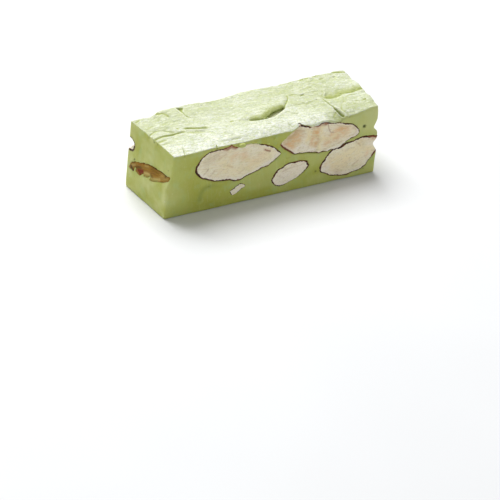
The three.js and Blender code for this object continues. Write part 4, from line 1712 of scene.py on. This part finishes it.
@dataclass(frozen=True)
class NougatFinish:
    """Soft nougat: smooth and green where it was cut, pale and dry on the pulled top."""

    cut: Tone = tone(182, 190, 95)
    cut_deep: Tone = tone(174, 178, 76)
    cut_dim: Tone = tone(150, 160, 76)
    cut_pale_and_lit: Tone = tone(208, 213, 146)
    cut_cool: Tone = tone(172, 192, 122)
    cut_warm: Tone = tone(190, 184, 94)
    dry: Tone = tone(211, 216, 186)
    bloom_and_sheen: Tone = tone(244, 248, 232)
    ridge: Tone = tone(240, 243, 226)
    moist_green_and_shade: Tone = tone(196, 206, 150)
    fold: Tone = tone(184, 193, 124)
    crease: Tone = tone(152, 165, 84)
    dark: Tone = tone(74, 84, 34)
    speck: Tone = tone(222, 226, 176)
    pit: Tone = tone(96, 104, 40)
    stain: Tone = tone(70, 38, 18)
    scatter: float = 0.25

    def _cut_colour(self, g: Graph) -> Socket:
        """Colour of the cut faces.

        Args:
            g: The material being built.

        Returns:
            The colour.
        """
        mottle = g.noise((6.0, 6.0, 5.0), 4.0, 0.55)
        blots = g.noise((2.6, 2.6, 3.6), 4.0, 0.62, 0.4)
        flecks = g.noise((0.9, 0.9, 1.3), 4.0, 0.65, 0.5)
        drag = g.noise((0.6, 0.8, 5.0), 4.0, 0.62, 0.3, (0.0, 10.0, 0.0))
        few = g.ramp(g.noise(3.0, 2.0), 0.42, 0.6)
        bubbles = g.times(g.ramp(g.scattered(2.1), 0.11, 0.05), few)
        return g.coats(
            self.cut_deep,
            (g.ramp(mottle, 0.3, 0.7), self.cut),
            (g.ramp(blots, 0.50, 0.72, 0.0, 0.65), self.cut_cool),
            (g.ramp(blots, 0.48, 0.28, 0.0, 0.45), self.cut_warm),
            (g.ramp(flecks, 0.54, 0.80, 0.0, 0.3), self.cut_pale_and_lit),
            (g.ramp(flecks, 0.46, 0.28, 0.0, 0.4), self.cut_deep),
            (g.ramp(drag, 0.52, 0.80, 0.0, 0.3), self.cut_pale_and_lit),
            # paler patches, with painted light at the upper right corner and towards the left end
            (g.times(g.attribute("pale_and_lit"), 0.8), self.cut_pale_and_lit),
            (g.times(g.attribute("ghost"), 0.7), self.cut_dim),
            # painted shade on the walls of the sunk pits
            (g.times(g.attribute("shade"), 0.85), self.dark),
            (g.times(bubbles, 0.7), self.speck),
        )

    def _dry_colour(self, g: Graph, grain: Socket, crackle: Socket) -> Socket:
        """Colour of the dry top.

        Args:
            g: The material being built.
            grain: Fine grain along the pull.
            crackle: Fine cracks, 0 at a crack.

        Returns:
            The colour.
        """
        hollow = g.attribute("hollow")
        patches = g.noise((5.5, 1.6, 3.0), 4.0, 0.62, 0.6)
        uneven = g.ramp(g.noise((1.3, 0.7, 0.7), 4.0, 0.65), 0.32, 0.66, 0.72, 1.14)
        shade = g.times(g.attribute("shade"), uneven)
        return g.coats(
            self.moist_green_and_shade,
            (g.ramp(patches, 0.34, 0.64, 0.35, 1.0), self.dry),
            # pale bloom and painted sheen on the top
            (g.attribute("pale_and_lit"), self.bloom_and_sheen),
            (g.ramp(grain, 0.52, 0.62, 0.0, 0.75), self.ridge),
            (g.ramp(grain, 0.48, 0.38, 0.0, 0.60), self.moist_green_and_shade),
            (g.ramp(crackle, 1.0, 0.0, 0.0, 0.6), self.moist_green_and_shade),
            # painted highlight on the raised places of the top and painted shade in its hollows
            (g.ramp(hollow, -0.02, -0.14, 0.0, 0.4), self.ridge),
            (g.ramp(hollow, 0.03, 0.20, 0.0, 0.45), self.moist_green_and_shade),
            # the folds' colour: partly the greener nougat in them, partly painted shade that is dark in
            # creases and cracks
            (g.ramp(shade, 0.02, 0.50), self.fold),
            (g.ramp(shade, 0.42, 0.72), self.crease),
            (g.ramp(shade, 0.68, 1.0), self.dark),
        )

    def material(self) -> Material:
        """Builds the nougat material, with drag marks on the cuts and crackle on the dry top.

        Returns:
            The material.
        """
        g = Graph("nougat")
        dry = g.attribute("dry")
        grain = g.noise((1.5, 0.26, 0.5), 5.0, 0.68, 0.5, (0.0, 0.0, 6.0))
        streaks = g.lines((4.0, 0.9, 1.5), 0.035, (0.0, 0.0, 5.0))
        crackle = g.times(streaks, g.lines((1.3, 0.9, 1.2), 0.03, (0.0, 0.0, -35.0)))
        drag = g.noise((0.5, 2.2, 9.0), 4.0, 0.6, 0.3, (0.0, 12.0, 0.0))
        hole = g.ramp(g.scattered(6.4), 0.036, 0.020)
        bare = g.mix(dry, self._cut_colour(g), self._dry_colour(g, grain, crackle))
        # painted shade darkens the small scattered holes
        marked = g.coats(bare, (g.times(hole, 0.5), self.pit), (g.attribute("stain"), self.stain))
        g.set("Base Color", marked)
        g.set("Roughness", g.math("ADD", g.ramp(g.noise(2.0), 0.3, 0.7, 0.42, 0.54), g.times(dry, 0.12)))
        g.gloss(0.3, 1.45)
        g.soften(self.scatter, (1.0, 0.95, 0.4), 0.9)
        g.bumps(
            (g.times(drag, g.math("SUBTRACT", 1.0, dry)), 0.06),
            (g.noise(0.35, 3.0, 0.6), 0.012),
            (g.times(crackle, dry), 0.05),
            (g.times(grain, dry), 0.16),
            (g.math("SUBTRACT", 1.0, hole), 0.12),
        )
        return g.material


@dataclass(frozen=True)
class AlmondFinish:
    """Cut almond: cream fibrous kernel with a thin dark skin round it."""

    kernel: Tone = tone(246, 234, 198)
    fibre: Tone = tone(253, 246, 222)
    warm: Tone = tone(234, 194, 140)
    cream: Tone = tone(252, 236, 188)
    white: Tone = tone(253, 244, 226)
    grey: Tone = tone(188, 160, 116)
    green: Tone = tone(228, 224, 172)
    skin_dark: Tone = tone(62, 32, 18)
    skin_light: Tone = tone(128, 76, 42)
    rust: Tone = tone(156, 92, 54)
    fleck: Tone = tone(208, 190, 150)
    scatter: float = 0.15

    def _kernel_colour(self, g: Graph, turn: Point3, fibres: Socket) -> Socket:
        """Colour of the kernel.

        Args:
            g: The material being built.
            turn: Turn of the grain.
            fibres: The grain.

        Returns:
            The colour.
        """
        tinge = g.noise((2.4, 1.6, 1.6), 3.0, 0.55, 0.6, turn)
        streaks = g.noise((1.7, 0.3, 0.22), 4.0, 0.7, 0.5, turn)
        cloud = g.noise((3.2, 2.0, 2.0), 4.0, 0.6, 0.8, turn)
        broken = g.ramp(g.noise((1.5, 0.6, 0.6), 4.0, 0.7, 0.6, turn), 0.34, 0.60, 0.3, 1.0)
        flecks = g.noise((0.6, 0.35, 0.35), 3.0, 0.7, 0.3, turn)
        paints = ((GREY, self.grey), (WARM, self.warm), (CREAM, self.cream), (PALE, self.white))
        return g.coats(
            self.kernel,
            (g.ramp(fibres, 0.36, 0.62), self.fibre),
            (g.ramp(tinge, 0.5, 0.72, 0.0, 0.5), self.green),
            (g.ramp(streaks, 0.54, 0.74, 0.0, 0.55), self.grey),
            (g.ramp(cloud, 0.54, 0.78, 0.0, 0.3), self.warm),
            *((g.times(g.attribute(layer.value), broken, clamp=True), paint) for layer, paint in paints),
            (g.ramp(flecks, 0.48, 0.32, 0.0, 0.5), self.fleck),
        )

    def material(self, almond: Almond) -> Material:
        """Builds the material of one almond, its grain along the almond.

        Args:
            almond: The almond that the grain follows.

        Returns:
            The material.
        """
        g = Graph(almond.name)
        turn = (0.0, almond.slope, -almond.yaw)
        fibres = g.noise((2.6, 0.5, 0.34), 5.0, 0.65, 0.5, turn)
        jag = g.ramp(g.noise(0.8, 4.0, 0.7), 0.28, 0.72, -0.15, 0.12)
        inside = g.math("SUBTRACT", g.attribute("skin_depth"), g.math("ADD", g.attribute("skin_width"), jag))
        covered = g.ramp(inside, 0.04, -0.04)
        browns = g.noise((0.7, 0.5, 0.5), 4.0, 0.65)
        rust = g.times(g.attribute(RUST.value), g.ramp(browns, 0.3, 0.6, 0.7, 1.0), clamp=True)
        skin = g.coats(self.skin_dark, (g.ramp(browns, 0.42, 0.66), self.skin_light), (rust, self.rust))
        kernel = g.coats(
            self._kernel_colour(g, turn, fibres),
            (g.ramp(inside, 0.5, 0.05, 0.0, 0.35), self.white),
            (g.times(rust, 0.8), self.rust),
        )
        g.set("Base Color", g.mix(covered, kernel, skin))
        g.set("Roughness", g.ramp(fibres, 0.3, 0.7, 0.5, 0.66))
        g.gloss(0.35, 1.46)
        g.soften(self.scatter, (1.0, 0.75, 0.45), 0.5)
        g.bumps((fibres, 0.16), (g.noise(0.24, 3.0, 0.6), 0.04), (covered, 0.05))
        return g.material


@dataclass(frozen=True)
class SkinFinish:
    """Brown ribbed almond skin that shows where the nougat tore off."""

    brown: Tone = tone(160, 122, 42)
    deep: Tone = tone(138, 98, 30)
    tan: Tone = tone(196, 174, 102)
    dark: Tone = tone(80, 62, 18)
    red_in_shade: Tone = tone(124, 48, 16)
    olive: Tone = tone(158, 150, 78)

    def material(self) -> Material:
        """Builds the skin material.

        Returns:
            The material.
        """
        g = Graph("almond_skin")
        ribs = g.noise((1.4, 1.8, 0.24), 4.0, 0.62, 0.4, (17.5, 0.0, 0.0))
        broken = g.ramp(g.noise((0.9, 0.9, 0.6), 4.0, 0.65), 0.3, 0.6, 0.7, 1.0)
        # the rust marks lay the red-brown of painted shade on the skin's deeper part
        paints = ((WARM, self.tan), (PALE, self.olive), (GREY, self.dark), (RUST, self.red_in_shade))
        colour = g.coats(
            self.deep,
            (g.ramp(ribs, 0.36, 0.62), self.brown),
            *((g.times(g.attribute(layer.value), broken, clamp=True), paint) for layer, paint in paints),
        )
        g.set("Base Color", colour)
        g.set("Roughness", g.ramp(ribs, 0.3, 0.7, 0.5, 0.68))
        g.gloss(0.12)
        g.bumps((ribs, 0.2), (g.noise(0.25, 3.0, 0.6), 0.04))
        return g.material


@dataclass(frozen=True)
class FloorFinish:
    """Plain pale matt floor."""

    colour: Tone = (0.80, 0.81, 0.82, 1.0)
    other: Tone = (0.82, 0.83, 0.84, 1.0)

    def material(self) -> Material:
        """Builds the floor material.

        Returns:
            The material.
        """
        g = Graph("floor")
        g.set("Base Color", g.mix(g.ramp(g.noise(60.0, 2.0), 0.3, 0.7), self.colour, self.other))
        g.set("Roughness", 0.6)
        g.gloss(0.2)
        return g.material


# ---- Assemblies ----


@dataclass
class Nougat:
    """The nougat: a body with pockets for the almonds and a thin dry skin over its top.

    The sink is how far the body stays under the skin's surface. The ghost is a faint darker line on the
    front face.
    """

    form: BarForm = field(default_factory=BarForm)
    finish: NougatFinish = field(default_factory=NougatFinish)
    sink: float = 0.30
    skin_thickness: float = 0.8
    skin_inset: float = 0.03
    margin: float = 0.6
    skin_margin: float = 0.5
    skin_room: float = 0.4
    pocket_margin: float = 1.5
    hollow_blur: float = 0.55
    ghost: Path = path(-19.6, 3.4, -19.5, 5, -18.5, 6.4, -16.3, 6.5, -13.1, 5.2, -11.8, 3.9)
    bumps: tuple[Bump, ...] = (
        Bump((24.6, -7.9, 13.0), (0.42, 0.6, 0.3)),
        Bump((-4.5, -8.3, 6.6), (0.22, 0.3, 0.2)),
        Bump((-1.8, -8.3, 6.6), (0.26, 0.15, 0.22)),
        Bump((11.7, -8.4, 3.9), (0.25, 0.2, 0.25)),
        Bump((-9.9, -8.35, 15.75), (0.95, 0.45, 0.5), sunk=False),
        Bump((-29.35, 5.7, 8.7), (0.3, 0.17, 0.17)),
        Bump((-16.6, -8.5, 16.4), (0.13, 0.4, 0.6)),
        Bump((-17.6, -8.2, 6.8), (0.24, 0.22, 0.24), sunk=False),
        Bump((-1.0, -8.1, 15.4), (0.26, 0.22, 0.26), sunk=False),
        Bump((3.4, -8.3, 9.4), (0.24, 0.2, 0.24), sunk=False),
        Bump((27.2, -7.9, 3.2), (0.3, 0.2, 0.26), sunk=False),
    )

    def _mesh(
        self, solid: Array, lattice: Lattice, almonds: tuple[Almond, ...], limit: Limit
    ) -> tuple[Array, Array, Array]:
        """Adds lumps and pits, cuts the almonds' pockets and meshes what is left.

        Args:
            solid: Distance to the plain solid.
            lattice: Its lattice.
            almonds: Every almond that has a pocket.
            limit: Box that nothing may leave.

        Returns:
            Vertices, quads and the finished field.
        """
        at = lattice.axes()
        for bump in self.bumps:
            away = bump.distance(at)
            solid = np.maximum(solid, -away) if bump.sunk else -soft_max(-solid, -away, 0.3)
        solid = np.maximum(solid, limit.distance(at))
        for almond in almonds:
            self._pocket(solid, lattice, almond)
        return *lattice.surface(solid), solid

    def _pocket(self, solid: Array, lattice: Lattice, almond: Almond) -> None:
        """Cuts an almond's pocket out of the nougat's field, in place.

        Args:
            solid: The nougat's field.
            lattice: Its lattice.
            almond: The almond.
        """
        need = almond.lattice(lattice.pitch, self.pocket_margin)
        cells = (np.array((need.low, need.high)) - lattice.low) / lattice.pitch
        start, stop = cells.astype(int)
        start, stop = np.maximum(start, 0), np.minimum(stop + 1, solid.shape)
        if (stop - start).min() < 3:
            return
        block = tuple(slice(a, b) for a, b in zip(start, stop))
        x, y, z = lattice.axes()
        near = (x[block[0]], y[:, block[1]], z[:, :, block[2]])
        form = almond.distance(self.form, near, lattice.pitch, broken=not almond.open_pocket)
        solid[block] = np.maximum(solid[block], -(form + POCKET_OVERLAP))

    def _hollow_map(self, lattice: Lattice) -> Array:
        """How far each place of the top lies below its surroundings.

        Args:
            lattice: Lattice of the top.

        Returns:
            Height difference on the lattice's X and Y.
        """
        x, y, _ = lattice.axes()
        top = self.form.top_z(x, y)[:, :, 0]
        around, wide = (blurred(top, times * self.hollow_blur / lattice.pitch) for times in (1.0, 3.0))
        return (around - top) + 0.15 * (wide - top)

    def _paleness_and_light(self, points: Array) -> Array:
        """Where the cut faces are paler: random patches, mottling, a band by the top edge and painted light
        at the upper right and left.

        Args:
            points: Points, one row each.

        Returns:
            Share from 0 to 1 for each point.
        """
        x, _, z = points.T
        patch = Noise(51).rough(points.T, (9.0, 9.0, 6.0), 2)
        mottle = Noise(53).rough(points.T, (4.0, 2.4, 2.4))
        # painted light: paler at the upper right corner and towards the left, with sheen in the left end's
        # mottling
        corner = bell(x - 28.0, 7.0) * smoothstep(7.0, 15.0, z)
        lip = bell(x - 13.5, 5.5) * smoothstep(14.2, 15.2, z)
        end = smoothstep(-27.6, -28.4, x)
        left = end * (0.06 + 0.45 * mottle) + 0.18 * smoothstep(-20.0, -27.0, x)
        return np.clip(corner + left + lip + 0.32 * smoothstep(0.0, 0.7, patch), 0.0, 1.0)

    def _pitted(self, points: Array) -> Array:
        """Painted shade on the walls of the sunk pits."""
        pits = (bump for bump in self.bumps if bump.sunk)
        return np.maximum.reduce([smoothstep(0.12, 0.02, pit.distance(points.T)) for pit in pits])

    def _bloom_and_sheen(self, x: Array, y: Array) -> Array:
        """How white the dry top is: bloom in random patches and painted sheen, whitest along its front edge.

        Args:
            x: Coordinates along the bar.
            y: Coordinates across it.

        Returns:
            Share from 0 to 1 for each point.
        """
        # painted sheen along the front edge, fading out towards the right
        front = bell(y + 8.0, 5.5) * smoothstep(19.0, 12.0, x)
        patch = Noise(57).rough((x, y, 0.0), (8.0, 3.0, 1.0))
        right = 0.25 * smoothstep(4.0, 16.0, x) - 0.30 * smoothstep(20.0, 27.0, x)
        return np.clip(0.15 + 0.90 * front + 0.30 * patch - right, 0.0, 1.0)

    def _stain(self, almonds: tuple[Almond, ...], points: Array) -> Array:
        """Where skin stuck to the wall of a pocket that stands open.

        Args:
            almonds: Every almond.
            points: Points of the body.

        Returns:
            Strength for each point.
        """
        total = np.zeros(len(points))
        for almond in (a for a in almonds if a.open_pocket):
            lattice = almond.lattice(NOUGAT_PITCH)
            form = almond.distance(self.form, lattice.axes(), NOUGAT_PITCH, broken=False)
            near = np.all((points > np.array(lattice.low)) & (points < np.array(lattice.high)), axis=1)
            reach = 0.20 + 0.20 * smoothstep(-28.6, -29.0, points[near, 0])
            total[near] = smoothstep(reach, reach - 0.12, lattice.read(form, points[near]))
        return total

    def build_body(self, almonds: tuple[Almond, ...], limit: Limit) -> Piece:
        """Meshes the body round the almonds.

        Args:
            almonds: Every almond that has a pocket.
            limit: Box that nothing may leave.

        Returns:
            The body's object.
        """
        lattice = limit.lattice(self.margin, -self.margin, NOUGAT_PITCH)
        x, y, z = lattice.axes()
        solid = np.maximum(self.form.distance((x, y, z)), z - (self.form.top_z(x, y) - self.sink))
        points, quads, _ = self._mesh(solid, lattice, almonds, limit)
        ghost = read_path(points[:, 0], points[:, 2], self.ghost)
        on_front = smoothstep(-6.5, -7.5, points[:, 1])
        attributes = {
            "dry": np.zeros(len(points)),
            "hollow": np.zeros(len(points)),
            "shade": self._pitted(points),
            "stain": self._stain(almonds, points),
            # paleness: random patches, with painted light at the upper right and the left
            "pale_and_lit": self._paleness_and_light(points),
            "ghost": on_front * bell(ghost.distance, 0.6) * smoothstep(9.0, 3.0, ghost.along),
        }
        return make_piece("nougat_body", points, quads, attributes)

    def build_skin(self, almonds: tuple[Almond, ...], limit: Limit) -> Piece:
        """Meshes the dry skin of the top.

        Args:
            almonds: Every almond that has a pocket.
            limit: Box that nothing may leave.

        Returns:
            The skin's object.
        """
        bottom = self.lowest_top() - self.skin_thickness - self.skin_room
        lattice = limit.lattice(self.skin_margin, bottom, TOP_PITCH)
        x, y, z = lattice.axes()
        under = self.form.top_z(x, y) - self.skin_thickness - z
        solid = np.maximum(self.form.distance((x, y, z)) + self.skin_inset, under)
        points, quads, solid = self._mesh(solid, lattice, almonds, limit)
        x, y, z = points.T
        edge = -np.maximum(self.form.beyond_ends(x, y, z), self.form.beyond_faces(x, y, z))
        level = unit(lattice.slopes(solid, points))[:, 2]
        dry = smoothstep(0.3, 0.75, level) * smoothstep(0.0, 0.15, edge)
        dry = np.maximum(dry, smoothstep(0.5, 1.0, edge))
        dry = np.maximum(dry, bell(x - 12.0, 4.0) * smoothstep(0.0, -4.0, y))
        attributes = {
            "dry": dry,
            "hollow": lattice.read(self._hollow_map(lattice), points),
            "shade": self.form.top_shade(x, y),
            "stain": self.form.top_stain(x, y),
            # bloom and painted sheen on the dry top, paleness and painted light on the cut sides
            "pale_and_lit": dry * self._bloom_and_sheen(x, y) + (1.0 - dry) * self._paleness_and_light(points),
            "ghost": np.zeros(len(points)),
        }
        return make_piece("nougat_top", points, quads, attributes)

    def lowest_top(self) -> float:
        """Lowest height of the folded top."""
        x, y = np.linspace(-29.0, 29.0, 200)[:, None], np.linspace(-8.6, 8.6, 80)[None, :]
        return float(self.form.top_z(x, y).min())


@dataclass(frozen=True)
class Lamp:
    """One soft square light aimed at the bar; its place and side are in metres."""

    name: str
    at: Point3
    size: float
    watts: float

    def build(self) -> None:
        """Adds the light."""
        data = bpy.data.lights.new(self.name, "AREA")
        data.shape = "SQUARE"
        data.size = self.size
        data.energy = self.watts
        lamp = link(self.name, data)
        lamp.location = self.at
        lamp.rotation_euler = (-Vector(self.at)).to_track_quat("-Z", "Y").to_euler()


@dataclass
class Studio:
    """Plain pale floor, soft lights and the camera; the camera's place is in millimetres."""

    azimuth: float = -36.039
    elevation: float = 33.084
    roll: float = 7.145
    distance: float = 463.912
    lens: float = 144.0
    sensor: float = 36.0
    side_shift: float = 1.313
    up_shift: float = 24.199
    middle: Point3 = (0.2074, 0.2632, 8.754)
    nearest: float = 0.01
    farthest: float = 20.0
    floor_reach: float = 3.0
    sky: float = 0.35
    lamps: tuple[Lamp, ...] = (
        Lamp("key", (-0.06, 0.40, 0.72), 0.55, 8.4),
        Lamp("fill", (0.45, -0.75, 0.30), 0.5, 0.45),
    )

    def camera(self) -> None:
        """Places the camera at the fitted viewing angle."""
        a, e, r = (math.radians(v) for v in (self.azimuth, self.elevation, self.roll))
        back = Vector((math.sin(a) * math.cos(e), -math.cos(a) * math.cos(e), math.sin(e)))
        right = (-back).cross(Vector((0, 0, 1))).normalized()
        up = right.cross(-back)
        rolled_right = right * math.cos(r) + up * math.sin(r)
        rolled_up = up * math.cos(r) - right * math.sin(r)
        data = bpy.data.cameras.new("camera")
        data.lens = self.lens
        data.sensor_width = self.sensor
        data.clip_start = self.nearest
        data.clip_end = self.farthest
        place = Vector(self.middle) + back * self.distance
        place -= rolled_right * self.side_shift + rolled_up * self.up_shift
        turn = Matrix((rolled_right, rolled_up, back)).transposed()
        camera = link("camera", data)
        camera.matrix_world = Matrix.Translation(place * MM) @ turn.to_4x4()
        bpy.context.scene.camera = camera

    def floor(self) -> None:
        """Makes the pale floor."""
        reach = self.floor_reach
        corners = [(-reach, -reach, 0.0), (reach, -reach, 0.0), (reach, reach, 0.0), (-reach, reach, 0.0)]
        mesh = bpy.data.meshes.new("floor")
        mesh.from_pydata(corners, [], [(0, 1, 2, 3)])
        mesh.materials.append(FloorFinish().material())
        link("floor", mesh)

    def world(self) -> None:
        """Lights the scene evenly from all round and keeps plain colours."""
        world = bpy.data.worlds.new("world")
        world.use_nodes = True
        background = world.node_tree.nodes["Background"]
        background.inputs["Color"].default_value = (1.0, 1.0, 1.0, 1.0)
        background.inputs["Strength"].default_value = self.sky
        bpy.context.scene.world = world
        bpy.context.scene.view_settings.view_transform = "Standard"

    def build(self) -> None:
        """Builds the whole studio."""
        self.camera()
        self.floor()
        for lamp in self.lamps:
            lamp.build()
        self.world()


@dataclass
class NougatBar:
    """The whole bar: nougat and its almonds, dressed and placed in the frame."""

    nougat: Nougat = field(default_factory=Nougat)
    kernels: tuple[Almond, ...] = KERNELS
    flank: Almond = ALMOND_LEFT_END
    kernel_finish: AlmondFinish = field(default_factory=AlmondFinish)
    skin_finish: SkinFinish = field(default_factory=SkinFinish)

    def _settle(self, piece: Piece, node: str, material: Material) -> None:
        """Dresses a piece and lets it stand for its CAD node.

        Args:
            piece: The piece.
            node: CAD node that it replaces.
            material: Its material.
        """
        piece.data.materials.append(material)
        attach(piece, ROOT_BODY)
        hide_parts(node)
        log.info("%s: %d faces", piece.name, len(piece.data.polygons))

    def build(self) -> None:
        """Builds every piece of the bar."""
        limit = cad_limit()
        almonds = self.kernels + (self.flank,)
        nougat = self.nougat.finish.material()
        for build in (self.nougat.build_body, self.nougat.build_skin):
            self._settle(build(almonds, limit), "nougat", nougat)
        form = self.nougat.form
        for number, almond in enumerate(self.kernels):
            piece = almond.build(form, self.kernels[:number], limit)
            self._settle(piece, almond.name, self.kernel_finish.material(almond))
        piece = self.flank.build(form, (), limit)
        self._settle(piece, self.flank.name, self.skin_finish.material())


def corners(box: tuple[Vector, Vector]) -> list[list[float]]:
    """Lowest and highest corner as plain lists."""
    return [list(box[0]), list(box[1])]


def main() -> None:
    """Builds the studio and the bar."""
    logging.basicConfig(level=logging.INFO, format="%(name)s %(message)s")
    Studio().build()
    NougatBar().build()


if __name__ == "__main__":
    main()
